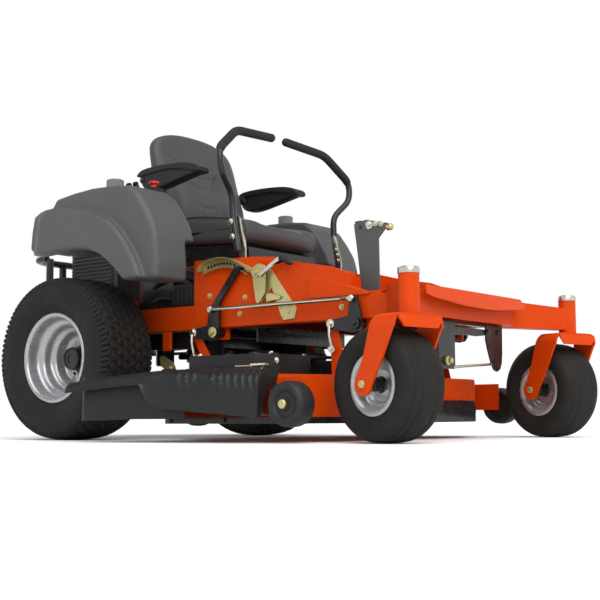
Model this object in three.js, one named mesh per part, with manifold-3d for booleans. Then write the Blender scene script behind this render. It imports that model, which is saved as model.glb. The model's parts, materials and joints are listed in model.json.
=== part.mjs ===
// Zero-turn riding mower with a three-blade deck, built up from its separate pieces.
// Millimetres, +X forward, +Y left, +Z up. The pieces are laid out from the point on the
// ground under the middle of the rear axle; the whole group is then moved so that its origin
// is at the middle of its footprint.
import * as THREE from 'three';
import { mergeVertices } from 'three/addons/utils/BufferGeometryUtils.js';
import Module from 'manifold-3d';

const wasm = await Module();
wasm.setup();

// ---------------------------------------------------------------- driving dimensions

const GAP = 0.3; // clearance between pieces that rest on each other

// rear wheels, driven by one hydraulic motor each
const REAR_RADIUS = 294;
const REAR_WIDTH = 250;
const REAR_TRACK = 1056;
const REAR_RIM_RADIUS = 160;
const REAR_BEAD_RADIUS = 150;
const REAR_BEAD_HALF = 100;
const REAR_DISC_Y = 20; // inner face of the rim's disc, outwards from the tyre's middle
const MOTOR_RADIUS = 62;
const REAR_FACETS = 32; // flats round a rear wheel
const CASTER_FACETS = 28; // flats round a caster wheel

// front casters
const PIVOT_X = 1446;
const PIVOT_TRACK = 1074;
const PIVOT_RADIUS = 31;
const PIVOT_BOTTOM = 374;
const PIVOT_TOP = 510;
const TRAIL = 90;
const SWIVEL_RIGHT = -0.215;
const SWIVEL_LEFT = -0.323;
const CASTER_RADIUS = 171.5;
const CASTER_WIDTH = 166;
const CASTER_BEAD_RADIUS = 80;
const CASTER_RIM_RADIUS = 92;
const FORK_PLATE = 9;
const FORK_TOP = 366;

// frame
const RAIL_OUTER_Y = 320;
const RAIL_WIDTH = 50;
const RAIL_BOTTOM = 394;
const RAIL_HEIGHT = 86;
const RAIL_REAR_X = -440;
const RAIL_FRONT_X = 1205;
const SKIN = 8; // side plate over each rail
const PLATE = 5; // floor and platform sheet
const CROSS_FRONT_X = 1348;
const ARM_WIDTH = 52;
const PLATFORM_Z = 628;
const PLATFORM_FRONT_X = 700;
const NOSE_X = 1366;

// operator's seat
const SEAT_WIDTH = 440;
const SEAT_BACK_WIDTH = 466;
const SEAT_TOP_Z = 1206;
const ARMREST_Y = 292;
const ARMREST_WIDTH = 62;

// steering levers
const LEVER_Y = 296;
const LEVER_PIVOT_X = 602;
const LEVER_PIVOT_Z = 604;
const CLEVIS_Z = 664;
const LEVER_RADIUS = 12.5;
const LEVER_BOW_Y = 389;
const GRIP_END_Y = 43;
const GRIP_X = 533;
const GRIP_Z = 1129;

// tanks that also guard the rear wheels
const FENDER_OUTER_Y = 640;
const TANK_OUTER_Y = 608;
const FENDER_INNER_Y = 402;
const FENDER_FOOT_Y = 450; // inner side of its lower front part
const SWITCH_X = 300; // console with the blade switch and the throttle, in the right tank
const SWITCH_Y = -450;
const SWITCH_Z = 900;

// engine
const ENGINE_FRONT_X = -120;
const ENGINE_LENGTH = 300;
const ENGINE_WIDTH = 420;
const ENGINE_BOTTOM = 500;
const ENGINE_HEIGHT = 250;
const GUARD_TUBE = 15;
const GUARD_X = -530;

// cutting deck
const DECK_HALF = 610;
const DECK_REAR_X = 480;
const DECK_SIDE_FRONT_X = 1020;
const DECK_FRONT_X = 1172;
const DECK_FRONT_HALF = 330;
const DECK_BOTTOM = 68;
const DECK_TOP = 210;
const DECK_WALL = 5;
const BLADE_RADIUS = 202;
const BLADE_SIDE_X = 742;
const BLADE_CENTRE_X = 900;
const BLADE_Y = 392;
const BLADE_Z = 84;
const ROLLER_RADIUS = 70;
const ROLLER_WIDTH = 80;
const ROLLER_X = 1107;
const ROLLER_Y = 661;
const ROLLER_Z = 117;
const REAR_ROLLER_X = 400;
const REAR_ROLLER_Y = 300;
const COVER_TOP = 300;

// deck lift
const CRANK_Y = 338; // middle of the crank plates outside the rails
const CRANK_PLATE = 10;
const REAR_CRANK_X = 513;
const FRONT_CRANK_X = 1121;
const CRANK_Z = 376;
const CRANK_ARM = 100;
const CRANK_PIN = 81;
const CRANK_PIN_BACK = 12;
const LIFT_SHAFT_RADIUS = 14;
const HANGER_PLATE = 3;
const PEDAL_Y = -250;

// ---------------------------------------------------------------- solids from shapes

const volumeOf = (geometry) => {
  const position = geometry.attributes.position;
  const index = geometry.index.array;
  const [a, b, c] = [new THREE.Vector3(), new THREE.Vector3(), new THREE.Vector3()];
  let sum = 0;
  for (let i = 0; i < index.length; i += 3) {
    a.fromBufferAttribute(position, index[i]);
    b.fromBufferAttribute(position, index[i + 1]);
    c.fromBufferAttribute(position, index[i + 2]);
    sum += a.dot(b.cross(c)) / 6;
  }
  return sum;
};

// One closed body whose faces point outwards.
const closed = (geometry) => {
  const bare = geometry.clone();
  bare.deleteAttribute('normal');
  bare.deleteAttribute('uv');
  const merged = mergeVertices(bare, 1e-3);
  if (volumeOf(merged) < 0) {
    const index = merged.index.array;
    for (let i = 0; i < index.length; i += 3) {
      const first = index[i];
      index[i] = index[i + 1];
      index[i + 1] = first;
    }
  }
  return merged;
};

const toSolid = (geometry) => {
  const merged = closed(geometry);
  const vertProperties = new Float32Array(merged.attributes.position.array);
  const triVerts = new Uint32Array(merged.index.array);
  return new wasm.Manifold(new wasm.Mesh({ numProp: 3, vertProperties, triVerts }));
};

const toGeometry = (solid) => {
  const mesh = solid.getMesh();
  const geometry = new THREE.BufferGeometry();
  geometry.setAttribute('position', new THREE.BufferAttribute(mesh.vertProperties, 3));
  geometry.setIndex(new THREE.BufferAttribute(mesh.triVerts, 1));
  return geometry;
};

const join = (...pieces) => toGeometry(pieces.map(toSolid).reduce((sum, piece) => sum.add(piece)));
const cut = (piece, ...tools) => toGeometry(
  tools.map(toSolid).reduce((sum, tool) => sum.subtract(tool), toSolid(piece)));
const common = (piece, other) => toGeometry(toSolid(piece).intersect(toSolid(other)));

// ---------------------------------------------------------------- shape helpers

const box = (x0, x1, y0, y1, z0, z1) => new THREE.BoxGeometry(x1 - x0, y1 - y0, z1 - z0)
  .translate((x0 + x1) / 2, (y0 + y1) / 2, (z0 + z1) / 2);

// A box and a cylinder across Y placed on one side, from distances to the middle plane.
const sideBox = (side, x0, x1, near, far, z0, z1) =>
  box(x0, x1, Math.min(side * near, side * far), Math.max(side * near, side * far), z0, z1);

const outlineShape = (points, holes = []) => {
  const shape = new THREE.Shape(points.map(([a, b]) => new THREE.Vector2(a, b)));
  shape.holes = holes.map((hole) => new THREE.Path(hole.map(([a, b]) => new THREE.Vector2(a, b))));
  return shape;
};

const circlePoints = (a, b, radius, count = 24, from = 0, to = 2 * Math.PI) => {
  const full = Math.abs(to - from - 2 * Math.PI) < 1e-9;
  const steps = full ? count : count - 1;
  return Array.from({ length: count }, (_, i) => {
    const angle = from + ((to - from) * i) / steps;
    return [a + radius * Math.cos(angle), b + radius * Math.sin(angle)];
  });
};

// An (x, z) outline carried along Y, a (y, z) outline along X and an (x, y) outline along Z.
const alongY = (points, y0, y1, holes) => new THREE.ExtrudeGeometry(
  outlineShape(points, holes), { depth: y1 - y0, bevelEnabled: false })
  .rotateX(Math.PI / 2).translate(0, y1, 0);
const alongX = (points, x0, x1, holes) => new THREE.ExtrudeGeometry(
  outlineShape(points, holes), { depth: x1 - x0, bevelEnabled: false })
  .applyMatrix4(new THREE.Matrix4().makeBasis(
    new THREE.Vector3(0, 1, 0), new THREE.Vector3(0, 0, 1), new THREE.Vector3(1, 0, 0)))
  .translate(x0, 0, 0);
const alongZ = (points, z0, z1, holes) => new THREE.ExtrudeGeometry(
  outlineShape(points, holes), { depth: z1 - z0, bevelEnabled: false }).translate(0, 0, z0);

const cylinderY = (x, z, radius, y0, y1, sides = 18) =>
  new THREE.CylinderGeometry(radius, radius, y1 - y0, sides).translate(x, (y0 + y1) / 2, z);
const sideCylinder = (side, x, z, radius, near, far, sides = 18) =>
  cylinderY(x, z, radius, Math.min(side * near, side * far), Math.max(side * near, side * far),
    sides);
const cylinderZ = (x, y, radius, z0, z1, sides = 18) =>
  new THREE.CylinderGeometry(radius, radius, z1 - z0, sides).rotateX(Math.PI / 2)
    .translate(x, y, (z0 + z1) / 2);

// A path through its points whose sections stand halfway between the stretches they join.
class Polyline extends THREE.Curve {
  constructor(stations) {
    super();
    this.stations = stations;
  }

  getPoint(t, target = new THREE.Vector3()) {
    const at = t * (this.stations.length - 1);
    const i = Math.min(Math.floor(at), this.stations.length - 2);
    return target.copy(this.stations[i]).lerp(this.stations[i + 1], at - i);
  }

  getPointAt(t, target) {
    return this.getPoint(t, target);
  }

  getTangentAt(t, target = new THREE.Vector3()) {
    const i = Math.round(t * (this.stations.length - 1));
    const before = this.stations[Math.max(i - 1, 0)];
    const after = this.stations[Math.min(i + 1, this.stations.length - 1)];
    return target.copy(after).sub(before).normalize();
  }
}

// A round bar through a list of points, with rounded bends.
const bar = (points, radius, bend = 30, sides = 8) => {
  const corners = points.map((point) => new THREE.Vector3(...point));
  const path = new THREE.CurvePath();
  let last = corners[0];
  for (let i = 1; i < corners.length; i += 1) {
    const corner = corners[i];
    if (i === corners.length - 1) {
      path.add(new THREE.LineCurve3(last, corner));
    } else {
      const before = last.clone().sub(corner).normalize().multiplyScalar(bend).add(corner);
      const after = corners[i + 1].clone().sub(corner).normalize().multiplyScalar(bend).add(corner);
      path.add(new THREE.LineCurve3(last, before));
      path.add(new THREE.QuadraticBezierCurve3(before, corner, after));
      last = after;
    }
  }
  const stations = path.curves.flatMap((curve, i) => {
    const steps = curve instanceof THREE.LineCurve3 ? 1 : 4;
    const points3 = curve.getPoints(steps);
    return i === 0 ? points3 : points3.slice(1);
  });
  return new THREE.ExtrudeGeometry(outlineShape(circlePoints(0, 0, radius, sides)),
    { steps: stations.length - 1, extrudePath: new Polyline(stations), bevelEnabled: false });
};

// A closed ring or disc turned about the Y axis from a profile of [radius, y]. Its flats stand
// at the stated radius, and one of them is at the bottom.
const turned = (profile, segments) => {
  const corner = 1 / Math.cos(Math.PI / segments);
  const loop = profile.map(([radius, y]) => new THREE.Vector2(radius * corner, y));
  if (profile[0][0] > 0) loop.push(loop[0].clone());
  return new THREE.LatheGeometry(loop, segments, Math.PI / segments);
};

// A body made of loops of points, one loop at each station, with flat ends.
const lofted = (loops) => {
  const count = loops[0].length;
  const positions = loops.flat().flatMap((point) => point);
  const index = [];
  for (let s = 0; s < loops.length - 1; s += 1) {
    for (let i = 0; i < count; i += 1) {
      const [a, b] = [s * count + i, s * count + ((i + 1) % count)];
      index.push(a, b, a + count, b, b + count, a + count);
    }
  }
  const middle = loops[Math.floor(loops.length / 2)];
  const capped = (station, axes, inLoopOrder) => {
    const loop = middle.map((point) => new THREE.Vector2(point[axes[0]], point[axes[1]]));
    const turn = Math.sign(THREE.ShapeUtils.area(loop));
    THREE.ShapeUtils.triangulateShape(loop, []).forEach((triangle) => {
      const sameTurn = Math.sign(THREE.ShapeUtils.area(triangle.map((i) => loop[i]))) === turn;
      const [a, b, c] = triangle.map((i) => i + station * count);
      if (sameTurn === inLoopOrder) index.push(a, b, c);
      else index.push(a, c, b);
    });
  };
  const spread = (axis) => {
    const values = loops[0].map((point) => point[axis]);
    return Math.max(...values) - Math.min(...values);
  };
  const flat = [0, 1, 2].reduce((best, axis) => (spread(axis) < spread(best) ? axis : best), 0);
  const axes = [0, 1, 2].filter((axis) => axis !== flat);
  capped(0, axes, false);
  capped(loops.length - 1, axes, true);
  const geometry = new THREE.BufferGeometry();
  geometry.setAttribute('position', new THREE.Float32BufferAttribute(positions, 3));
  geometry.setIndex(index);
  return geometry;
};

// Moves each corner of an outline inwards by a distance.
const inset = (points, distance) => points.map(([a, b], i) => {
  const [pa, pb] = points[(i + points.length - 1) % points.length];
  const [na, nb] = points[(i + 1) % points.length];
  const length = Math.hypot(na - pa, nb - pb);
  return [a - (distance * (nb - pb)) / length, b + (distance * (na - pa)) / length];
});

// An (x, z) outline, listed anticlockwise as seen from the right side (-Y), swept along Y with
// its edge drawn in at each station, so that both sides end in a rounded shoulder.
const rounded = (outline, stations, shear = () => 0) => lofted(stations.map(([y, distance]) =>
  inset(outline, distance).map(([x, z]) => [x + shear(x, y), y, z])));

// ---------------------------------------------------------------- materials and the group

const finish = (color, roughness, metalness = 0) =>
  new THREE.MeshStandardMaterial({ color, roughness, metalness });
const FINISHES = {
  orange: () => finish(0xe9490b, 0.38),
  grey: () => finish(0x6c6e6d, 0.55),
  black: () => finish(0x1d1d1e, 0.45),
  rubber: () => finish(0x2c2b29, 0.85),
  silver: () => finish(0xc2c4c4, 0.4, 0.6),
  yellowZinc: () => finish(0xb7a45b, 0.35, 0.8),
  brightZinc: () => finish(0xcfcfca, 0.3, 0.9),
  vinyl: () => finish(0x464647, 0.65),
  plastic: () => finish(0x252627, 0.55),
  engine: () => finish(0x35363a, 0.5, 0.3),
  steel: () => finish(0x8a8b8c, 0.4, 0.9),
};

const machine = new THREE.Group();
const add = (name, geometry, look, parent = machine) => {
  const mesh = new THREE.Mesh(closed(geometry), FINISHES[look]());
  mesh.name = name;
  parent.add(mesh);
  return mesh;
};
const SIDES = [['right', -1], ['left', 1]];
const mirrored = (geometry, side) => (side < 0 ? geometry : geometry.clone().scale(1, -1, 1));

// ---------------------------------------------------------------- rear wheels

const tyreProfile = (radius, half, beadRadius, beadHalf, rimRadius) => [
  [beadRadius + GAP, -beadHalf], [beadRadius + GAP, beadHalf],
  [rimRadius + 4, beadHalf],
  [rimRadius + 0.45 * (radius - rimRadius), half],
  [rimRadius + 0.86 * (radius - rimRadius), half * 0.93],
  [radius, half * 0.6],
  [radius, -half * 0.6],
  [rimRadius + 0.86 * (radius - rimRadius), -half * 0.93],
  [rimRadius + 0.45 * (radius - rimRadius), -half],
  [rimRadius + 4, -beadHalf],
];

// Rim with a deep dish; the positive side of the profile faces out.
const rearRimProfile = () => {
  const wall = 5;
  const flange = REAR_BEAD_HALF + wall;
  const well = REAR_BEAD_RADIUS - wall;
  return [
    [0, 54], [36, 54], [36, 28], [96, 28], [116, 54], [well, 62],
    [well, flange], [REAR_RIM_RADIUS, flange], [REAR_RIM_RADIUS, REAR_BEAD_HALF + GAP],
    [REAR_BEAD_RADIUS, REAR_BEAD_HALF + GAP], [REAR_BEAD_RADIUS, -REAR_BEAD_HALF - GAP],
    [REAR_RIM_RADIUS, -REAR_BEAD_HALF - GAP], [REAR_RIM_RADIUS, -flange], [well, -flange],
    [well, 52], [112, 46], [90, REAR_DISC_Y], [0, REAR_DISC_Y],
  ];
};

SIDES.forEach(([name, side]) => {
  const wheel = new THREE.Group();
  wheel.position.set(0, (side * REAR_TRACK) / 2, REAR_RADIUS);
  machine.add(wheel);
  const tyre = tyreProfile(REAR_RADIUS, REAR_WIDTH / 2, REAR_BEAD_RADIUS, REAR_BEAD_HALF,
    REAR_RIM_RADIUS);
  add(`rear_tyre_${name}`, turned(tyre, REAR_FACETS), 'rubber', wheel);
  const rim = closed(turned(rearRimProfile(), REAR_FACETS));
  add(`rear_rim_${name}`, side < 0 ? rim.rotateX(Math.PI) : rim, 'silver', wheel);

  const motorEnd = REAR_TRACK / 2 - 40;
  const flange = RAIL_OUTER_Y - RAIL_WIDTH;
  const motor = join(
    sideCylinder(side, 0, REAR_RADIUS, 40, motorEnd - 1, REAR_TRACK / 2 + REAR_DISC_Y - 1),
    sideCylinder(side, 0, REAR_RADIUS, MOTOR_RADIUS, flange, motorEnd),
    sideBox(side, -95, 95, flange, flange + 40, REAR_RADIUS - 70, RAIL_BOTTOM - GAP),
  );
  add(`wheel_motor_${name}`, motor, 'black');
});

// ---------------------------------------------------------------- casters

const forkSide = [
  [-46, FORK_TOP], [-60, 340], [-84, 256], [-120, 186],
  ...circlePoints(-TRAIL, CASTER_RADIUS, 34, 9, Math.PI * 0.93, Math.PI * 1.93),
  [-4, 253], [30, 322], [40, 336], [40, FORK_TOP],
];

const casterFork = () => {
  const inner = CASTER_WIDTH / 2 + 8;
  const outer = inner + FORK_PLATE;
  const crown = 12;
  const arch = alongX([
    [-outer, 0], [-inner, 0], [-inner, FORK_TOP - crown - 14], [-inner + 14, FORK_TOP - crown],
    [inner - 14, FORK_TOP - crown], [inner, FORK_TOP - crown - 14], [inner, 0], [outer, 0],
    [outer, FORK_TOP - 22], [outer - 22, FORK_TOP], [-outer + 22, FORK_TOP],
    [-outer, FORK_TOP - 22],
  ], -200, 60);
  const arms = common(arch, alongY(forkSide, -outer - 1, outer + 1));
  const lip = box(32, 40, -inner - 1, inner + 1, FORK_TOP - 34, FORK_TOP - crown + 1);
  const kingpin = cylinderZ(0, 0, 24, FORK_TOP - crown, PIVOT_BOTTOM - GAP);
  const axle = cylinderY(-TRAIL, CASTER_RADIUS, 9.5, -outer - 10, outer + 10, 16);
  return join(arms, lip, kingpin, axle);
};

const casterRimProfile = () => {
  const half = 62;
  const wall = 5;
  const hub = 22;
  const well = CASTER_BEAD_RADIUS - wall;
  return [
    [10, -half - 12], [10, half + 12], [hub, half + 12], [hub, 30], [56, 24],
    [well, 38], [well, half + wall], [CASTER_RIM_RADIUS, half + wall],
    [CASTER_RIM_RADIUS, half + GAP], [CASTER_BEAD_RADIUS, half + GAP],
    [CASTER_BEAD_RADIUS, -half - GAP], [CASTER_RIM_RADIUS, -half - GAP],
    [CASTER_RIM_RADIUS, -half - wall], [well, -half - wall], [well, 28], [56, 15],
    [hub, 20], [hub, -half - 12],
  ];
};

SIDES.forEach(([name, side]) => {
  const caster = new THREE.Group();
  caster.position.set(PIVOT_X, (side * PIVOT_TRACK) / 2, 0);
  caster.rotation.z = side < 0 ? SWIVEL_RIGHT : SWIVEL_LEFT;
  machine.add(caster);
  add(`caster_fork_${name}`, casterFork(), 'orange', caster);
  const wheel = new THREE.Group();
  wheel.position.set(-TRAIL, 0, CASTER_RADIUS);
  caster.add(wheel);
  const tyre = tyreProfile(CASTER_RADIUS, CASTER_WIDTH / 2, CASTER_BEAD_RADIUS, 62,
    CASTER_RIM_RADIUS);
  add(`caster_tyre_${name}`, turned(tyre, CASTER_FACETS), 'rubber', wheel);
  const rim = closed(turned(casterRimProfile(), CASTER_FACETS));
  add(`caster_rim_${name}`, side < 0 ? rim.rotateX(Math.PI) : rim, 'silver', wheel);
});

// ---------------------------------------------------------------- frame

const RAIL_TOP = RAIL_BOTTOM + RAIL_HEIGHT;
const SIDE_REAR_X = 396;
const sideOutline = [
  [SIDE_REAR_X, RAIL_BOTTOM + 2], [1065, RAIL_BOTTOM + 2], [RAIL_FRONT_X - 41, RAIL_TOP - 3],
  [1087, 502], [1084, 544], [1007, 573], [880, 596], [763, 626], [660, 634], [400, 642],
  [SIDE_REAR_X, 636],
];

const shaftBearing = (x) => cut(
  box(x - 30, x + 30, -RAIL_OUTER_Y + 20, -RAIL_OUTER_Y + 32, CRANK_Z - 24, RAIL_BOTTOM + 2),
  cylinderY(x, CRANK_Z, LIFT_SHAFT_RADIUS + 1.5, -RAIL_OUTER_Y, -RAIL_OUTER_Y + 40));
const railWithPlate = join(
  box(RAIL_REAR_X, RAIL_FRONT_X, -RAIL_OUTER_Y + 1, -RAIL_OUTER_Y + RAIL_WIDTH, RAIL_BOTTOM,
    RAIL_TOP),
  alongY(sideOutline, -RAIL_OUTER_Y, -RAIL_OUTER_Y + SKIN),
  shaftBearing(REAR_CRANK_X), shaftBearing(FRONT_CRANK_X),
);
SIDES.forEach(([name, side]) => {
  add(`frame_rail_${name}`, mirrored(railWithPlate, side), 'orange');
});

// Two arms sweep forward and out to the caster pivots from a channel across the front.
const frontArm = () => {
  const inner = new THREE.Vector2(RAIL_FRONT_X + 34, -RAIL_OUTER_Y + 26);
  const pivot = new THREE.Vector2(PIVOT_X, -PIVOT_TRACK / 2);
  const length = inner.distanceTo(pivot);
  const angle = Math.atan2(pivot.y - inner.y, pivot.x - inner.x);
  const side = alongY([
    [-30, RAIL_BOTTOM], [length, PIVOT_BOTTOM + 12], [length, 462], [-30, 500],
  ], -ARM_WIDTH / 2, ARM_WIDTH / 2).rotateZ(angle).translate(inner.x, inner.y, 0);
  const tube = cylinderZ(pivot.x, pivot.y, PIVOT_RADIUS, PIVOT_BOTTOM, PIVOT_TOP, 32);
  const trimmed = cut(side, box(RAIL_FRONT_X - 90, RAIL_FRONT_X + GAP, -500, 0, 300, 600));
  return join(trimmed, tube);
};

const crossChannel = cut(
  box(RAIL_FRONT_X + GAP, CROSS_FRONT_X, -RAIL_OUTER_Y, RAIL_OUTER_Y, RAIL_BOTTOM, RAIL_TOP - 10),
  box(RAIL_FRONT_X - 1, CROSS_FRONT_X - 8, -RAIL_OUTER_Y + 60, RAIL_OUTER_Y - 60,
    RAIL_BOTTOM - 1, RAIL_TOP - 18),
);
const rightArm = frontArm();
add('front_frame', join(crossChannel, rightArm, mirrored(rightArm, 1)), 'orange');

// Engine plate and hitch at the tail, between the rails.
const TAIL_Y = RAIL_OUTER_Y - RAIL_WIDTH - GAP;
add('rear_frame', join(
  box(RAIL_REAR_X, ENGINE_FRONT_X + 90, -TAIL_Y, TAIL_Y, ENGINE_BOTTOM - 60, ENGINE_BOTTOM - 40),
  box(RAIL_REAR_X, RAIL_REAR_X + 10, -TAIL_Y, TAIL_Y, RAIL_BOTTOM - 60, RAIL_TOP),
  box(RAIL_REAR_X - 70, RAIL_REAR_X + 1, -60, 60, RAIL_BOTTOM - 20, RAIL_BOTTOM - 10),
), 'black');

const FLOOR_Z = RAIL_TOP + GAP;
const FLOOR_HALF = RAIL_OUTER_Y - SKIN - 1;
add('floor_plate', cut(
  box(PLATFORM_FRONT_X + 4, NOSE_X - 6, -FLOOR_HALF, FLOOR_HALF, FLOOR_Z, FLOOR_Z + PLATE),
  box(RAIL_FRONT_X - 10, NOSE_X, -FLOOR_HALF - 1, -210, FLOOR_Z - 1, FLOOR_Z + 30),
  box(RAIL_FRONT_X - 10, NOSE_X, 210, FLOOR_HALF + 1, FLOOR_Z - 1, FLOOR_Z + 30),
  box(FRONT_CRANK_X - 100, FRONT_CRANK_X + 100, -FLOOR_HALF - 1, PEDAL_Y + 12, FLOOR_Z - 1,
    FLOOR_Z + 30),
), 'orange');

// Sloping plate with a bowed lower edge in front of the feet.
const noseDrop = 62;
const noseOutline = [
  [-318, 0], [-334, -34], [-300, -44], [-220, -noseDrop + 12], [-110, -noseDrop + 2],
  [0, -noseDrop], [110, -noseDrop + 2], [220, -noseDrop + 12], [300, -44], [334, -34], [318, 0],
];
const nose = alongX(noseOutline, 0, PLATE).rotateY(-0.42).translate(NOSE_X, 0, FLOOR_Z + PLATE);
add('nose_plate', nose, 'orange');

// Platform under the seat, with the riser down to the floor.
const PLATFORM_HALF = 262;
add('seat_platform', join(
  box(60, PLATFORM_FRONT_X, -PLATFORM_HALF, PLATFORM_HALF, PLATFORM_Z, PLATFORM_Z + PLATE),
  box(PLATFORM_FRONT_X - PLATE, PLATFORM_FRONT_X, -FLOOR_HALF, FLOOR_HALF, RAIL_TOP + GAP,
    PLATFORM_Z - 10),
  box(PLATFORM_FRONT_X - PLATE, PLATFORM_FRONT_X, -PLATFORM_HALF, PLATFORM_HALF,
    PLATFORM_Z - 11, PLATFORM_Z + 1),
  box(60, 60 + PLATE, -PLATFORM_HALF, PLATFORM_HALF, RAIL_TOP, PLATFORM_Z + 1),
  box(60, 60 + PLATE, -RAIL_OUTER_Y + 4, RAIL_OUTER_Y - 4, RAIL_TOP + GAP, RAIL_TOP + 40),
), 'orange');

// ---------------------------------------------------------------- seat

add('seat_base', join(
  alongY([
    [120, PLATFORM_Z + PLATE + GAP], [560, PLATFORM_Z + PLATE + GAP], [552, 694], [520, 708],
    [150, 728], [110, 720],
  ], -SEAT_WIDTH / 2 + 20, SEAT_WIDTH / 2 - 20),
  alongY([
    [116, 700], [126, 726], [126, 772], [88, 836], [68, 918], [58, 916], [76, 834], [100, 768],
    [100, 700],
  ], -150, 150),
), 'black');

const cushionOutline = [
  [130, 736], [340, 722], [520, 714], [562, 722], [578, 746], [576, 772], [560, 790],
  [480, 806], [340, 824], [236, 838], [218, 820], [190, 780], [140, 760],
];
const cushionHalf = SEAT_WIDTH / 2;
const cushionBow = (x, y) => -22 * (y / cushionHalf) ** 2 * Math.max(0, (x - 380) / 200);
add('seat_cushion', rounded(cushionOutline, [
  [-cushionHalf, 26], [-cushionHalf + 10, 9], [-cushionHalf + 26, 0], [-100, 0], [100, 0],
  [cushionHalf - 26, 0], [cushionHalf - 10, 9], [cushionHalf, 26],
], cushionBow), 'vinyl');

// Backrest as level sections: rear x, front x and half width at each height.
const backHalf = SEAT_BACK_WIDTH / 2;
const backSections = [
  [778, 132, 172, backHalf - 50], [800, 118, 196, backHalf - 22], [860, 92, 204, backHalf - 8],
  [920, 78, 190, backHalf - 2], [1000, 64, 158, backHalf], [1080, 52, 132, backHalf],
  [1130, 44, 116, backHalf - 6], [1160, 44, 108, backHalf - 28],
  [SEAT_TOP_Z - 24, 48, 100, backHalf - 62], [SEAT_TOP_Z - 8, 56, 90, backHalf - 105],
  [SEAT_TOP_Z, 64, 82, backHalf - 160],
];
add('seat_back', lofted(backSections.map(([z, rear, front, side]) => {
  const corner = (front - rear) * 0.3;
  return [
    [rear, -side + corner, z], [rear + corner, -side, z], [front - corner, -side, z],
    [front, -side + corner, z], [front, side - corner, z], [front - corner, side, z],
    [rear + corner, side, z], [rear, side - corner, z],
  ];
})), 'vinyl');

const armrestOutline = [
  [98, 988], [118, 946], [158, 930], [215, 932], [320, 952], [408, 970], [420, 982],
  [402, 1000], [342, 1016], [240, 1022], [150, 1020], [108, 1010],
];
SIDES.forEach(([name, side]) => {
  const middle = side * ARMREST_Y;
  const edge = ARMREST_WIDTH / 2;
  const pad = rounded(armrestOutline, [
    [middle - edge, 12], [middle - edge + 6, 3], [middle - edge + 14, 0],
    [middle + edge - 14, 0], [middle + edge - 6, 3], [middle + edge, 12],
  ]);
  const arm = sideCylinder(side, 122, 980, 14, SEAT_BACK_WIDTH / 2 + GAP, ARMREST_Y - edge + 8);
  add(`armrest_${name}`, join(pad, arm), 'vinyl');
});

// ---------------------------------------------------------------- fenders

const tankOutline = [
  [-178, 700], [-100, 690], [33, 692], [120, 690], [180, 680], [238, 656], [288, 620],
  [338, 574], [362, 549], [486, 549], [488, 600], [480, 690], [464, 744], [430, 800],
  [390, 853], [344, 886], [260, 895], [150, 898], [60, 892], [-34, 880], [-50, 852],
  [-120, 848], [-158, 828], [-172, 765],
];
const flareOutline = [
  [-105, 684], [-68, 672], [33, 679], [119, 678], [173, 670], [227, 651], [274, 618],
  [321, 578], [347, 549], [440, 549], [413, 604], [379, 660], [321, 728], [274, 766],
  [203, 796], [155, 814], [88, 828], [0, 842], [-60, 840], [-88, 815], [-97, 750],
];
// The flare's tail wraps inwards behind the wheel.
const tailWrap = (x, y) => {
  const inwards = Math.min(1, (FENDER_OUTER_Y - Math.abs(y)) / 60);
  return -75 * inwards * Math.max(0, (40 - x) / 140);
};
SIDES.forEach(([name, side]) => {
  const flare = rounded(flareOutline, [
    [side * FENDER_OUTER_Y, 14], [side * (FENDER_OUTER_Y - 5), 5], [side * (FENDER_OUTER_Y - 18), 0],
    [side * (FENDER_OUTER_Y - 60), 0],
  ], tailWrap);
  const body = rounded(tankOutline, [
    [side * TANK_OUTER_Y, 24], [side * (TANK_OUTER_Y - 7), 11], [side * (TANK_OUTER_Y - 24), 3],
    [side * (TANK_OUTER_Y - 44), 0], [side * (FENDER_INNER_Y + 14), 0],
    [side * FENDER_INNER_Y, 10],
  ]);
  const foot = sideBox(side, 250, 600, FENDER_INNER_Y - 10, FENDER_FOOT_Y, 500, 688);
  const shell = cut(join(flare, body), foot);
  const filler = cylinderZ(170, side * 500, 30, 880, 940);
  const pocket = box(SWITCH_X - 45 - GAP, SWITCH_X + 45 + GAP, SWITCH_Y - 26 - GAP,
    SWITCH_Y + 26 + GAP, SWITCH_Z - 30 - GAP, SWITCH_Z + 60);
  const tank = join(shell, filler);
  add(`fender_${name}`, side < 0 ? cut(tank, pocket) : tank, 'grey');
});
SIDES.forEach(([name, side]) => {
  add(`fender_bracket_${name}`, join(
    sideBox(side, 100, 260, RAIL_OUTER_Y - 40, RAIL_OUTER_Y - 32, RAIL_TOP + GAP, 700),
    sideBox(side, 100, 260, RAIL_OUTER_Y - 40, FENDER_INNER_Y - GAP, 692, 700),
    sideBox(side, 100, 260, FENDER_INNER_Y - 8, FENDER_INNER_Y - GAP, 692, 800),
    sideBox(side, 100, 260, RAIL_OUTER_Y - 48, RAIL_OUTER_Y - 10, RAIL_TOP + GAP, RAIL_TOP + 8),
  ), 'black');
});
add('blade_switch', join(
  box(SWITCH_X - 45, SWITCH_X + 45, SWITCH_Y - 26, SWITCH_Y + 26, SWITCH_Z - 30, SWITCH_Z),
  cylinderZ(SWITCH_X + 15, SWITCH_Y, 6, SWITCH_Z - 5, SWITCH_Z + 14, 12),
  cylinderZ(SWITCH_X + 15, SWITCH_Y, 17, SWITCH_Z + 12, SWITCH_Z + 25)), 'black');

// ---------------------------------------------------------------- engine

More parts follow.
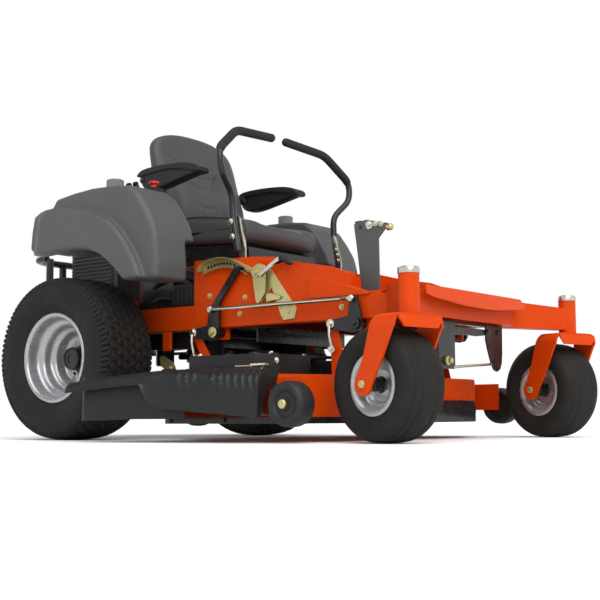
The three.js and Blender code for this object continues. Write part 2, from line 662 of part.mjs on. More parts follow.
const ENGINE_REAR_X = ENGINE_FRONT_X - ENGINE_LENGTH;
add('engine_block', box(ENGINE_REAR_X + 30, ENGINE_FRONT_X, -ENGINE_WIDTH / 2, ENGINE_WIDTH / 2,
  ENGINE_BOTTOM - 40 + GAP, ENGINE_BOTTOM + ENGINE_HEIGHT), 'engine');
const SHROUD_Z = ENGINE_BOTTOM + ENGINE_HEIGHT + GAP;
add('engine_shroud', join(
  alongZ([[ENGINE_REAR_X + 20, -170], [ENGINE_REAR_X + 60, -205], [ENGINE_FRONT_X - 10, -205],
    [ENGINE_FRONT_X, -190], [ENGINE_FRONT_X, 190], [ENGINE_FRONT_X - 10, 205],
    [ENGINE_REAR_X + 60, 205], [ENGINE_REAR_X + 20, 170]], SHROUD_Z, SHROUD_Z + 60),
  cylinderZ(ENGINE_REAR_X + 165, 0, 130, SHROUD_Z + 50, SHROUD_Z + 100, 36)), 'black');
add('muffler', join(
  cylinderY(ENGINE_REAR_X - 28, 560, 52, -170, 170, 28),
  box(ENGINE_REAR_X - 20, ENGINE_REAR_X + 30 - GAP, -120, -90, 540, 580),
  box(ENGINE_REAR_X - 20, ENGINE_REAR_X + 30 - GAP, 90, 120, 540, 580)), 'steel');

const GUARD_HALF = 300;
const GUARD_Z = 724;
const GUARD_LEG_X = -425;
const guardLegs = [-1, 1].map((side) => bar([
  [GUARD_LEG_X, side * (GUARD_HALF - 2), RAIL_TOP + GAP],
  [GUARD_LEG_X, side * (GUARD_HALF - 2), GUARD_Z]], GUARD_TUBE));
add('rear_guard', join(
  bar([[GUARD_LEG_X - 14, -GUARD_HALF, GUARD_Z], [GUARD_X + 30, -GUARD_HALF, GUARD_Z],
    [GUARD_X, -GUARD_HALF + 60, GUARD_Z], [GUARD_X, GUARD_HALF - 60, GUARD_Z],
    [GUARD_X + 30, GUARD_HALF, GUARD_Z], [GUARD_LEG_X - 14, GUARD_HALF, GUARD_Z]],
  GUARD_TUBE, 24),
  ...guardLegs,
  bar([[GUARD_X, -140, GUARD_Z], [GUARD_X, -140, 470], [GUARD_X, 140, 470],
    [GUARD_X, 140, GUARD_Z]], GUARD_TUBE, 30),
), 'black');

// ---------------------------------------------------------------- steering levers

SIDES.forEach(([name, side]) => {
  const strip = join(
    alongY([[LEVER_PIVOT_X - 16, LEVER_PIVOT_Z], [LEVER_PIVOT_X + 16, LEVER_PIVOT_Z],
      [LEVER_PIVOT_X + 12, CLEVIS_Z + 14], [LEVER_PIVOT_X - 14, CLEVIS_Z + 14]],
    -LEVER_Y + 4, -LEVER_Y + 10),
    cylinderY(LEVER_PIVOT_X, LEVER_PIVOT_Z, 16, -LEVER_Y - 4, -LEVER_Y + 22, 20),
  );
  add(`lever_bracket_${name}`, mirrored(strip, side), 'brightZinc');
  const tube = bar([
    [LEVER_PIVOT_X - 8, -LEVER_Y - 9.5, CLEVIS_Z], [568, -LEVER_Y - 9.5, 790],
    [566, -LEVER_Y - 9.5, 870], [586, -LEVER_BOW_Y, 940], [582, -LEVER_BOW_Y, 1040],
    [548, -342, 1098], [540, -290, 1114], [GRIP_X, -GRIP_END_Y, GRIP_Z],
  ], LEVER_RADIUS, 20);
  add(`lever_${name}`, mirrored(tube, side), 'black');
});

// ---------------------------------------------------------------- cutting deck

const deckOutline = (grow = 0) => {
  const right = [
    [DECK_REAR_X - grow, -DECK_HALF + 60], [DECK_REAR_X + 60, -DECK_HALF - grow],
    [DECK_SIDE_FRONT_X + grow * 0.5, -DECK_HALF - grow],
    [DECK_FRONT_X + grow, -DECK_FRONT_HALF - grow * 0.4],
  ];
  return [...right, ...right.slice().reverse().map(([x, y]) => [x, -y])].reverse();
};
const SPINDLES = [
  ['left', BLADE_SIDE_X, BLADE_Y], ['centre', BLADE_CENTRE_X, 0],
  ['right', BLADE_SIDE_X, -BLADE_Y],
];

const chuteOpening = box(DECK_REAR_X + 90, DECK_SIDE_FRONT_X - 40, -DECK_HALF - 50,
  -DECK_HALF + 40, DECK_BOTTOM - 10, DECK_TOP - 22);
// Straps that rise from the deck to the lift cranks, one at each corner.
const HANGER_Y = CRANK_Y - CRANK_PLATE / 2 - 5;
const rearHanger = [
  [DECK_REAR_X + 6, DECK_TOP - 4], [DECK_REAR_X + 60, DECK_TOP - 4],
  [REAR_CRANK_X - CRANK_ARM + 14, CRANK_Z + 8], [REAR_CRANK_X - CRANK_ARM - 14, CRANK_Z + 8],
  [REAR_CRANK_X - CRANK_ARM - 10, CRANK_Z - 20],
];
const frontHanger = [
  [FRONT_CRANK_X - CRANK_ARM - 6, DECK_TOP - 4], [FRONT_CRANK_X - CRANK_ARM + 60, DECK_TOP - 4],
  [FRONT_CRANK_X - CRANK_ARM + 14, CRANK_Z + 8], [FRONT_CRANK_X - CRANK_ARM - 14, CRANK_Z + 8],
];
const hangers = [rearHanger, frontHanger].flatMap((outline) => [
  alongY(outline, -HANGER_Y, -HANGER_Y + HANGER_PLATE),
  alongY(outline, HANGER_Y - HANGER_PLATE, HANGER_Y),
]);
const hingeStrip = box(DECK_REAR_X + 30, DECK_SIDE_FRONT_X - 10, -DECK_HALF + 4, -DECK_HALF + 9,
  DECK_TOP - 4, DECK_TOP + 22);

const FRONT_ARM_Y = ROLLER_Y - ROLLER_WIDTH / 2 - 8;
const REAR_ARM_Y = REAR_ROLLER_Y - ROLLER_WIDTH / 2 - 8;
const deckShell = cut(
  alongZ(deckOutline(), DECK_BOTTOM, DECK_TOP),
  alongZ(deckOutline(-DECK_WALL), DECK_BOTTOM - 5, DECK_TOP - DECK_WALL),
  chuteOpening,
  ...SPINDLES.map(([, x, y]) => cylinderZ(x, y, 16, DECK_BOTTOM, DECK_TOP + 10)),
);
add('deck_shell', join(
  deckShell,
  ...hangers,
  hingeStrip,
  ...[-1, 1].flatMap((side) => [
    sideBox(side, DECK_SIDE_FRONT_X - 10, ROLLER_X + 16, FRONT_ARM_Y - 8, FRONT_ARM_Y,
      ROLLER_Z - 16, DECK_TOP - 10),
    sideCylinder(side, ROLLER_X, ROLLER_Z, 8, FRONT_ARM_Y - 4, ROLLER_Y + ROLLER_WIDTH / 2 + 8),
    sideBox(side, REAR_ROLLER_X - 16, DECK_REAR_X + 4, REAR_ARM_Y - 8, REAR_ARM_Y,
      ROLLER_Z - 16, DECK_TOP - 10),
    sideCylinder(side, REAR_ROLLER_X, ROLLER_Z, 8, REAR_ARM_Y - 4,
      REAR_ROLLER_Y + ROLLER_WIDTH / 2 + 8),
  ]),
), 'orange');

// Covers over the spindle pulleys and the belt between them.
add('belt_cover', join(
  ...[-1, 1].map((side) => alongZ([
    [560, side * 230], [600, side * 200], [860, side * 240], [930, side * 330],
    [930, side * 520], [880, side * 560], [600, side * 560], [560, side * 520],
  ], DECK_TOP + GAP, COVER_TOP - 20)),
  alongZ([[700, -150], [860, -180], [1040, -140], [1040, 140], [860, 180], [700, 150]],
    DECK_TOP + GAP, COVER_TOP - 30),
  box(690, 860, -330, 330, DECK_TOP + GAP, DECK_TOP + 40),
), 'black');

// Deflector over the discharge opening, hinged along its inner edge.
const CHUTE_HINGE_Z = DECK_TOP + 20;
const CHUTE_HINGE_Y = -DECK_HALF - 8;
const chuteStations = [
  // x, outer y at the shoulder, shoulder z, lower z
  [1016, -692, 205, 74], [900, -726, 212, 86], [780, -762, 216, 98], [660, -798, 220, 112],
  [630, -812, 218, 74], [540, -838, 211, 74], [440, -866, 202, 76], [352, -892, 194, 78],
];
const CHUTE_SHELL = 5;
const chute = lofted(chuteStations.map(([x, y, shoulder, low]) => {
  const t = CHUTE_SHELL;
  const inner = CHUTE_HINGE_Y;
  const top = CHUTE_HINGE_Z;
  return [
    [x, inner, top - t], [x, inner, top], [x, (inner + y) / 2, (top + shoulder) / 2 + 6],
    [x, y + 12, shoulder + 2], [x, y - 6, shoulder - 16], [x, y - 22, low],
    [x, y - 22 + t, low], [x, y - 6 + t + 1, shoulder - 18], [x, y + 14, shoulder - t],
    [x, (inner + y) / 2, (top + shoulder) / 2 + 6 - t],
  ];
}));
const chuteFront = alongX([
  [CHUTE_HINGE_Y, CHUTE_HINGE_Z - 1], [-680, 204], [-696, 190], [-712, 78], [-690, 78],
  [CHUTE_HINGE_Y, 160],
], 1012, 1017);
const chuteKnuckles = [560, 760, 960].map((x) =>
  new THREE.CylinderGeometry(8, 8, 50, 16).rotateZ(Math.PI / 2)
    .translate(x, CHUTE_HINGE_Y + 2, CHUTE_HINGE_Z - 2));
add('discharge_chute', join(chute, chuteFront, ...chuteKnuckles), 'plastic');

const rollerProfile = (width) => {
  const edge = width / 2;
  return [
    [9.5, -edge], [9.5, edge], [ROLLER_RADIUS - 14, edge], [ROLLER_RADIUS - 3, edge - 14],
    [ROLLER_RADIUS - 3, -edge + 14], [ROLLER_RADIUS - 14, -edge],
  ];
};
[['front', ROLLER_X, ROLLER_Y], ['rear', REAR_ROLLER_X, REAR_ROLLER_Y]].forEach(([end, x, y]) => {
  SIDES.forEach(([name, side]) => {
    add(`${end}_roller_${name}`, turned(rollerProfile(ROLLER_WIDTH - 2), 18)
      .translate(x, side * y, ROLLER_Z), 'rubber');
  });
});

SPINDLES.forEach(([name, x, y], i) => {
  const bladeAngle = [0.9, 0.25, 2.1][i];
  const blade = join(
    box(-BLADE_RADIUS + 2, BLADE_RADIUS - 2, -28, 28, BLADE_Z, BLADE_Z + 5),
    cylinderZ(0, 0, 12.5, BLADE_Z - 12, DECK_TOP - 2, 20),
    cylinderZ(0, 0, 26, BLADE_Z + 4, BLADE_Z + 24, 20),
  ).rotateZ(bladeAngle).translate(x, y, 0);
  add(`blade_${name}`, blade, 'steel');
});

// ---------------------------------------------------------------- deck lift

const pinX = (shaftX) => shaftX - CRANK_PIN_BACK;
const crankPlate = (x, armTip, side) => {
  const y0 = side * CRANK_Y - CRANK_PLATE / 2;
  return alongY([
    [x + 22, CRANK_Z - 12], [x + 20, CRANK_Z + 30], [pinX(x) + 14, CRANK_Z + CRANK_PIN + 12],
    [pinX(x) - 12, CRANK_Z + CRANK_PIN + 12], [pinX(x) - 14, CRANK_Z + CRANK_PIN - 14],
    [x - 32, CRANK_Z + 26], [armTip - 10, CRANK_Z + 14], [armTip - 12, CRANK_Z - 12],
    [x - 10, CRANK_Z - 30], [x + 12, CRANK_Z - 26],
  ], y0, y0 + CRANK_PLATE);
};
const liftShaft = (x, extra = []) => join(
  cylinderY(x, CRANK_Z, LIFT_SHAFT_RADIUS, -CRANK_Y - 12, CRANK_Y + 12, 20),
  crankPlate(x, x - CRANK_ARM, -1), crankPlate(x, x - CRANK_ARM, 1), ...extra);

const handleArm = alongY([
  [REAR_CRANK_X + 22, CRANK_Z], [REAR_CRANK_X + 22, CRANK_Z + 100],
  [REAR_CRANK_X + 124, CRANK_Z + 222], [REAR_CRANK_X + 96, CRANK_Z + 226],
  [REAR_CRANK_X - 26, CRANK_Z + 80], [REAR_CRANK_X - 10, CRANK_Z],
], -CRANK_Y - CRANK_PLATE / 2, -CRANK_Y + CRANK_PLATE / 2);
add('rear_lift_shaft', liftShaft(REAR_CRANK_X, [handleArm]), 'black');
add('front_lift_shaft', liftShaft(FRONT_CRANK_X), 'black');

const ROD_Y = CRANK_Y + CRANK_PLATE / 2 + 8;
SIDES.forEach(([name, side]) => {
  const [y0, y1] = side < 0 ? [-ROD_Y - 5, -ROD_Y + 5] : [ROD_Y - 5, ROD_Y + 5];
  const z = CRANK_Z + CRANK_PIN;
  add(`lift_rod_${name}`, join(
    bar([[pinX(REAR_CRANK_X), side * ROD_Y, z], [pinX(FRONT_CRANK_X), side * ROD_Y, z]], 6.5),
    cylinderY(pinX(REAR_CRANK_X), z, 11, y0, y1, 16),
    cylinderY(pinX(FRONT_CRANK_X), z, 11, y0, y1, 16),
  ), 'brightZinc');
});

// Foot pedal, a tall plate that stands up from the front shaft beside the driver's feet.
const pedalOutline = [
  [FRONT_CRANK_X - 30, 380], [FRONT_CRANK_X - 18, 354], [FRONT_CRANK_X + 18, 354],
  [FRONT_CRANK_X + 30, 380], [1154, 500], [1152, 660], [1184, 694], [1188, 706], [1102, 726],
  [1056, 716], [1058, 694], [1068, 626], [1082, 512],
];
add('lift_pedal', alongY(pedalOutline, PEDAL_Y - 3, PEDAL_Y + 3, [
  circlePoints(FRONT_CRANK_X, CRANK_Z, LIFT_SHAFT_RADIUS + GAP, 20),
]), 'grey');

// Height-of-cut quadrant and the bracket that carries its stop lever, outside the right rail.
const INDEX_Y = -RAIL_OUTER_Y - GAP;
add('height_quadrant', join(
  alongY([
    [441, 618], [480, 634], [550, 636], [620, 620], [684, 588], [676, 574], [610, 596],
    [548, 606], [490, 604], [446, 592],
  ], INDEX_Y - 4, INDEX_Y),
  alongY([
    [672, 580], [700, 600], [760, 580], [868, 440], [858, 408], [812, 404], [800, 420],
    [760, 520], [716, 470], [690, 480],
  ], INDEX_Y - 4, INDEX_Y),
), 'yellowZinc');

add('front_hanger', join(
  alongX([[-138, 236], [-35, 236], [-35, RAIL_BOTTOM - GAP], [-138, RAIL_BOTTOM - GAP]],
    1300, 1306),
  alongX([[150, RAIL_BOTTOM - GAP], [300, RAIL_BOTTOM - GAP], [292, 356], [252, 236],
    [242, 230], [228, 230], [218, 238], [176, 352]], 1300, 1306),
  box(1290, 1306, -140, 290, RAIL_BOTTOM - 24, RAIL_BOTTOM - GAP),
), 'black');

// ---------------------------------------------------------------- origin

machine.updateMatrixWorld(true);
const bounds = new THREE.Box3().setFromObject(machine, true);
machine.position.set(-(bounds.min.x + bounds.max.x) / 2, -(bounds.min.y + bounds.max.y) / 2,
  -bounds.min.z);
machine.updateMatrixWorld(true);

export default machine;
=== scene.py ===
"""Finished looks of a zero-turn mower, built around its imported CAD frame.

Lengths inside the shape functions are millimetres from the point on the ground under the
middle of the rear axle, +X forward, +Y to the driver's left, +Z up.
"""

import json
import math

import bmesh
import bpy
import numpy as np
from mathutils import Matrix, Vector


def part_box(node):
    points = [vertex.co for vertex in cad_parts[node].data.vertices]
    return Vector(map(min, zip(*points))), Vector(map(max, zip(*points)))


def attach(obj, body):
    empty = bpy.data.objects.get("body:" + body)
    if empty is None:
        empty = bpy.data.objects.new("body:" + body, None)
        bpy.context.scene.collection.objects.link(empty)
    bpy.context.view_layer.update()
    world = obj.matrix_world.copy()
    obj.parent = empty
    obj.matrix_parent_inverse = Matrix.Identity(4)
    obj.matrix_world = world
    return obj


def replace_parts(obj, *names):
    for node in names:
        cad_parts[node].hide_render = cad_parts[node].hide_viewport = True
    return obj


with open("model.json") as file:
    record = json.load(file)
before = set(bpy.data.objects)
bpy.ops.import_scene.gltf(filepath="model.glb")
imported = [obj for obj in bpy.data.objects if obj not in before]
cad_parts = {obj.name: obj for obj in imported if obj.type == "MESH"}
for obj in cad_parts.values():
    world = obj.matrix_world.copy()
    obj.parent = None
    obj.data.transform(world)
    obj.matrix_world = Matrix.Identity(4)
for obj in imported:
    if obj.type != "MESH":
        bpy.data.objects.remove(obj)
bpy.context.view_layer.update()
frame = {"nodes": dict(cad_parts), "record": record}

SIDES = (("right", -1), ("left", 1))
TAU = 2 * math.pi
right_low, right_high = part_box("rear_tyre_right")
_, left_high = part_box("rear_tyre_left")
ORIGIN = np.array([(right_low.x + right_high.x) / 2, (right_low.y + left_high.y) / 2, 0.0])


def in_frame(points):
    """Millimetres from the rear axle's foot to metres in the frame."""
    return np.asarray(points, float) / 1000 + ORIGIN


# ------------------------------------------------------------------ camera and lights

CAMERA_PLACE = (3220.81, -3356.55, 80.69)
CAMERA_YAW, CAMERA_PITCH, CAMERA_ROLL = 2.227687, 0.100836, -0.005158
CAMERA_FOCAL = 68.92
CEILING_AIM = (-0.5, 0.36, -1.0)
CEILING_STRENGTH = 3.3
CEILING_SPREAD = math.radians(75)
CEILING_SHADE = 0.22
WALL_TOP, CEILING_START = 0.40, 0.62


def look_from(place, yaw, pitch, roll, focal):
    """Camera at a place, heading yaw about Z and pitch above level, turned by roll about its
    own line of sight."""
    data = bpy.data.cameras.new("camera")
    data.sensor_width = 36
    data.lens = focal
    camera = bpy.data.objects.new("camera", data)
    bpy.context.scene.collection.objects.link(camera)
    bpy.context.scene.camera = camera
    forward = np.array([math.cos(pitch) * math.cos(yaw), math.cos(pitch) * math.sin(yaw),
                        math.sin(pitch)])
    right = np.array([math.sin(yaw), -math.cos(yaw), 0])
    up = np.cross(right, forward)
    side = math.cos(roll) * right + math.sin(roll) * up
    top = -math.sin(roll) * right + math.cos(roll) * up
    turn = Matrix([list(row) for row in np.column_stack([side, top, -forward])])
    camera.matrix_world = Matrix.Translation(Vector(in_frame(place))) @ turn.to_4x4()


def panel_light(name, place, target, width, height, power):
    """A rectangular softbox at a place, facing its target."""
    data = bpy.data.lights.new(name, "AREA")
    data.shape = "RECTANGLE"
    data.size = width
    data.size_y = height
    data.energy = power
    light = bpy.data.objects.new(name, data)
    bpy.context.scene.collection.objects.link(light)
    light.location = Vector(in_frame(place))
    aim = Vector(in_frame(target)) - light.location
    light.rotation_mode = "QUATERNION"
    light.rotation_quaternion = aim.to_track_quat("-Z", "Y")


def ceiling_light():
    """A very wide overhead light, so that shadows under the machine are soft."""
    data = bpy.data.lights.new("ceiling_light", "SUN")
    data.energy = CEILING_STRENGTH
    data.angle = CEILING_SPREAD
    light = bpy.data.objects.new("ceiling_light", data)
    bpy.context.scene.collection.objects.link(light)
    light.rotation_mode = "QUATERNION"
    light.rotation_quaternion = Vector(CEILING_AIM).to_track_quat("-Z", "Y")


def white_room():
    """Surroundings that are white up to a wall's height and fall to a grey ceiling."""
    scene = bpy.context.scene
    scene.view_settings.view_transform = "Standard"
    scene.world = bpy.data.worlds.new("white_room")
    scene.world.use_nodes = True
    nodes = scene.world.node_tree.nodes
    links = scene.world.node_tree.links
    background = nodes["Background"]
    background.inputs["Strength"].default_value = 1.0
    direction = nodes.new("ShaderNodeTexCoord")
    split = nodes.new("ShaderNodeSeparateXYZ")
    wall_to_ceiling = nodes.new("ShaderNodeValToRGB")
    wall, ceiling = wall_to_ceiling.color_ramp.elements
    wall.position = WALL_TOP
    wall.color = (1, 1, 1, 1)
    ceiling.position = CEILING_START
    ceiling.color = (CEILING_SHADE, CEILING_SHADE, CEILING_SHADE, 1)
    links.new(direction.outputs["Generated"], split.inputs["Vector"])
    links.new(split.outputs["Z"], wall_to_ceiling.inputs["Fac"])
    links.new(wall_to_ceiling.outputs["Color"], background.inputs["Color"])


look_from(CAMERA_PLACE, CAMERA_YAW, CAMERA_PITCH, CAMERA_ROLL, CAMERA_FOCAL)
panel_light("front_right_softbox", (4600, -3200, 2600), (700, -200, 450), 2.2, 1.8, 45)
panel_light("left_rear_softbox", (-3200, 2600, 2400), (300, 0, 600), 3.0, 2.2, 20)
ceiling_light()
white_room()


# ------------------------------------------------------------------ finishes

def linear(red, green, blue):
    """Screen colour 0 to 255 to linear light."""
    value = np.array([red, green, blue], float) / 255
    light = np.where(value <= 0.04045, value / 12.92, ((value + 0.055) / 1.055) ** 2.4)
    return (*light.tolist(), 1.0)


def finish(name, colour, roughness, metallic=0.0, shade=0.86, patch=9.0, grain=900.0,
           grain_depth=0.00008, coat=0.0, rough_spread=0.08, specular=0.28, sheen=0.0,
           coat_rough=0.12, worn=None):
    """A finish whose colour drifts in soft patches between two shades, whose gloss varies in
    finer patches, and whose surface carries a fine grain."""
    material = bpy.data.materials.new(name)
    material.use_nodes = True
    nodes = material.node_tree.nodes
    links = material.node_tree.links
    shader = nodes["Principled BSDF"]
    shader.inputs["Metallic"].default_value = metallic
    shader.inputs["Coat Weight"].default_value = coat
    shader.inputs["Coat Roughness"].default_value = coat_rough
    shader.inputs["Specular IOR Level"].default_value = specular
    shader.inputs["Sheen Weight"].default_value = sheen
    place = nodes.new("ShaderNodeTexCoord")

    def noise(scale, detail):
        texture = nodes.new("ShaderNodeTexNoise")
        texture.inputs["Scale"].default_value = scale
        texture.inputs["Detail"].default_value = detail
        links.new(place.outputs["Object"], texture.inputs["Vector"])
        return texture

    def ramp(source, low, high, start, end):
        stops = nodes.new("ShaderNodeValToRGB")
        stops.color_ramp.elements[0].position = start
        stops.color_ramp.elements[1].position = end
        stops.color_ramp.elements[0].color = low
        stops.color_ramp.elements[1].color = high
        links.new(source.outputs["Fac"], stops.inputs["Fac"])
        return stops

    base = linear(*colour)
    dark = (*[c * shade for c in base[:3]], 1.0)
    colours = ramp(noise(patch, 4), dark, base, 0.36, 0.62)
    colour_out = colours.outputs["Color"]
    if worn:
        marks = ramp(noise(patch * 7, 9), (0, 0, 0, 1), (1, 1, 1, 1), worn[1], worn[1] + 0.06)
        mix = nodes.new("ShaderNodeMix")
        mix.data_type = "RGBA"
        mix.inputs["B"].default_value = linear(*worn[0])
        links.new(marks.outputs["Color"], mix.inputs["Factor"])
        links.new(colour_out, mix.inputs["A"])
        colour_out = mix.outputs["Result"]
    links.new(colour_out, shader.inputs["Base Color"])
    low = roughness - rough_spread
    high = roughness + rough_spread
    gloss = ramp(noise(patch * 5, 6), (low, low, low, 1), (high, high, high, 1), 0.35, 0.65)
    links.new(gloss.outputs["Color"], shader.inputs["Roughness"])
    bump = nodes.new("ShaderNodeBump")
    bump.inputs["Strength"].default_value = 1.0
    bump.inputs["Distance"].default_value = grain_depth
    links.new(noise(grain, 3).outputs["Fac"], bump.inputs["Height"])
    links.new(bump.outputs["Normal"], shader.inputs["Normal"])
    return material


ORANGE = finish("orange_powder_coat", (194, 60, 0), 0.42, shade=0.93, patch=3.0, grain=420.0,
                grain_depth=0.00005, coat=0.05, coat_rough=0.16, rough_spread=0.05,
                specular=0.1)
GREY = finish("grey_moulded_plastic", (76, 77, 77), 0.5, shade=0.94, patch=4.0, grain=1500.0,
              grain_depth=0.0001, rough_spread=0.06)
GREY_PAINT = finish("grey_painted_steel", (172, 173, 172), 0.42, shade=0.94, patch=5.0,
                    coat=0.15, grain=600.0)
BLACK_PAINT = finish("black_painted_steel", (26, 27, 28), 0.3, shade=0.8, patch=6.0, coat=0.25,
                     grain=500.0, grain_depth=0.00014)
SILVER = finish("silver_wheel_paint", (166, 167, 169), 0.3, metallic=0.66, shade=0.93, patch=7.0,
                grain=700.0, grain_depth=0.00002, coat=0.2)
TYRE = finish("tyre_rubber", (36, 35, 33), 0.62, shade=0.84, patch=11.0, grain=700.0,
              grain_depth=0.00016, rough_spread=0.09, specular=0.1)
RUBBER = finish("black_rubber", (34, 34, 34), 0.55, shade=0.85, patch=14.0, grain=800.0,
                grain_depth=0.00012)
PLASTIC = finish("black_moulded_plastic", (27, 28, 29), 0.4, shade=0.88, patch=5.0,
                 grain=1700.0, grain_depth=0.00012, rough_spread=0.06)
VINYL = finish("grey_seat_vinyl", (64, 65, 66), 0.46, shade=0.9, patch=8.0, grain=520.0,
               grain_depth=0.00035, sheen=0.05, rough_spread=0.05)
FOAM = finish("black_grip_foam", (33, 33, 34), 0.72, shade=0.85, patch=20.0, grain=950.0,
              grain_depth=0.0004)
ENGINE = finish("dark_engine_casting", (58, 59, 62), 0.5, metallic=0.35, shade=0.75, patch=14.0,
                grain=600.0, grain_depth=0.0003)
STEEL = finish("heat_marked_steel", (128, 126, 122), 0.42, metallic=0.85, shade=0.7, patch=9.0,
               grain=700.0)
BLADE = finish("ground_blade_steel", (120, 121, 123), 0.3, metallic=0.95, shade=0.8, patch=12.0,
               grain=900.0)
BRIGHT = finish("bright_zinc", (206, 203, 188), 0.2, metallic=0.97, shade=0.86, patch=16.0,
                grain=1200.0, grain_depth=0.00001, rough_spread=0.05)
YELLOW = finish("yellow_zinc", (192, 182, 128), 0.36, metallic=0.72, shade=0.86, patch=12.0,
                grain=1100.0, grain_depth=0.00002, worn=((158, 168, 122), 0.62))
RED = finish("red_switch_plastic", (214, 48, 16), 0.35, shade=0.9, patch=12.0, coat=0.3)
GREY_CAP = finish("grey_cap_plastic", (118, 119, 119), 0.5, shade=0.9, patch=20.0)
FLOOR = finish("pale_floor", (243, 243, 243), 0.85, shade=0.995, patch=1.2, grain=60.0,
               grain_depth=0.0002, specular=0.1)

SLOT_FINISH = {
    "orange_paint": ORANGE, "grey_paint": GREY, "black_paint": BLACK_PAINT,
    "silver_paint": SILVER, "tyre_rubber": TYRE, "black_rubber": RUBBER,
    "black_plastic": PLASTIC, "grey_plastic": GREY, "seat_vinyl": VINYL,
    "engine_metal": ENGINE, "muffler_steel": STEEL, "bright_zinc": BRIGHT,
    "yellow_zinc": YELLOW, "blade_steel": BLADE,
}
EDGE_WIDTH = 1.2
EDGE_ANGLE = math.radians(38)
SOFT_EDGE = {"caster_fork": 2.2, "front_frame": 2.0, "frame_rail": 1.6, "nose_plate": 1.5,
             "deck_shell": 1.6, "lift_pedal": 1.0, "height_quadrant": 0.8, "floor_plate": 1.2}


def dress_cad_nodes():
    """Every CAD node takes its slot's finish; its sharp edges are rounded over and its flat
    faces stay flat."""
    slot_of = {part["node"]: part["material_slot"] for part in frame["record"]["subparts"]}
    for name, node in frame["nodes"].items():
        node.data.materials.clear()
        node.data.materials.append(SLOT_FINISH[slot_of[name]])
        node.data.polygons.foreach_set("use_smooth", np.ones(len(node.data.polygons), bool))
        node.modifiers.new("weld", "WELD").merge_threshold = 0.00001
        edge = node.modifiers.new("soft_edges", "BEVEL")
        widths = [wide for start, wide in SOFT_EDGE.items() if name.startswith(start)]
        edge.width = (widths or [EDGE_WIDTH])[0] / 1000
        edge.segments = 2
        edge.limit_method = "ANGLE"
        edge.angle_limit = EDGE_ANGLE
        edge.use_clamp_overlap = True
        node.modifiers.new("flat_faces", "WEIGHTED_NORMAL").keep_sharp = True


dress_cad_nodes()


# ------------------------------------------------------------------ surfaces from arrays

def net(rows, columns, wrap_rows=False, wrap_columns=True):
    """Four-sided faces of a grid of points stored row by row, closed across its last row or
    column where asked."""
    row = np.arange(rows if wrap_rows else rows - 1)[:, None]
    column = np.arange(columns if wrap_columns else columns - 1)[None, :]
    next_row = (row + 1) % rows
    next_column = (column + 1) % columns
    corners = (row * columns + column, row * columns + next_column,
               next_row * columns + next_column, next_row * columns + column)
    return np.stack(np.broadcast_arrays(*corners), -1).reshape(-1, 4)


def piece(name, surfaces, body, slot, material=None, crease=35):
    """One object from surfaces of (points in millimetres, faces). Doubles are merged and faces
    turned outwards; edges sharper than the crease angle stay sharp. The slot gives the finish
    unless a material is named."""
    points = []
    faces = []
    start = 0
    for corners, quads in surfaces:
        corners = np.asarray(corners, float).reshape(-1, 3)
        points.append(corners)
        faces.extend((quads + start).tolist())
        start += len(corners)
    mesh = bpy.data.meshes.new(name)
    mesh.from_pydata(in_frame(np.concatenate(points)).tolist(), [], faces)
    work = bmesh.new()
    work.from_mesh(mesh)
    bmesh.ops.remove_doubles(work, verts=work.verts, dist=2e-6)
    bmesh.ops.recalc_face_normals(work, faces=work.faces)
    work.to_mesh(mesh)
    work.free()
    mesh.polygons.foreach_set("use_smooth", np.ones(len(mesh.polygons), bool))
    mesh.set_sharp_from_angle(angle=math.radians(crease))
    mesh.materials.append(material or SLOT_FINISH[slot])
    made = bpy.data.objects.new(name, mesh)
    bpy.context.scene.collection.objects.link(made)
    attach(made, body)
    return made


def cubic(p0, p1, p2, p3, t):
    """The stretch from p1 to p2 whose slopes are half the difference of its neighbours."""
    return 0.5 * (2 * p1 + (p2 - p0) * t + (2 * p0 - 5 * p1 + 4 * p2 - p3) * t ** 2
                  + (3 * p1 - p0 - 3 * p2 + p3) * t ** 3)


def curve_through(stations, count):
    """Smooth line through rows of numbers."""
    stations = np.asarray(stations, float)
    before = np.vstack([2 * stations[0] - stations[1], stations, 2 * stations[-1] - stations[-2]])
    at = np.linspace(0, len(stations) - 1, count)
    index = np.minimum(at.astype(int), len(stations) - 2)
    return cubic(*(before[index + k] for k in range(4)), (at - index)[:, None])


def closed_curve(stations, count):
    """Smooth closed line through rows of numbers."""
    stations = np.asarray(stations, float)
    total = len(stations)
    at = np.arange(count) * total / count
    index = at.astype(int)
    return cubic(*(stations[(index + k) % total] for k in (-1, 0, 1, 2)), (at - index)[:, None])


def turned(profile, segments=64, axis="y", centre=(0, 0, 0), flip=1, ring=False):
    """Profile rows of (radius, distance along the axis) carried round the axis; a ring's last
    row joins its first."""
    profile = np.asarray(profile, float)
    angle = np.arange(segments) * TAU / segments
    radius = profile[:, :1]
    along = flip * profile[:, 1:] + 0 * angle
    first = radius * np.cos(angle)
    second = radius * np.sin(angle)
    order = {"y": (first, along, second), "z": (first, second, along), "x": (along, first, second)}
    points = np.stack(order[axis], -1).reshape(-1, 3) + centre
    return points, net(len(profile), segments, wrap_rows=ring)


def bent(corners, radius, steps=8):
    """Points of a path through corners, each corner rounded by a parabola that starts the
    radius before it and ends the radius after it."""
    corners = np.asarray(corners, float)
    path = [corners[:1]]
    t = np.linspace(0, 1, steps)[:, None]
    for before, corner, after in zip(corners[:-2], corners[1:-1], corners[2:]):
        start = corner + radius * (before - corner) / np.linalg.norm(before - corner)
        end = corner + radius * (after - corner) / np.linalg.norm(after - corner)
        path.append((1 - t) ** 2 * start + 2 * t * (1 - t) * corner + t ** 2 * end)
    path.append(corners[-1:])
    return np.concatenate(path)


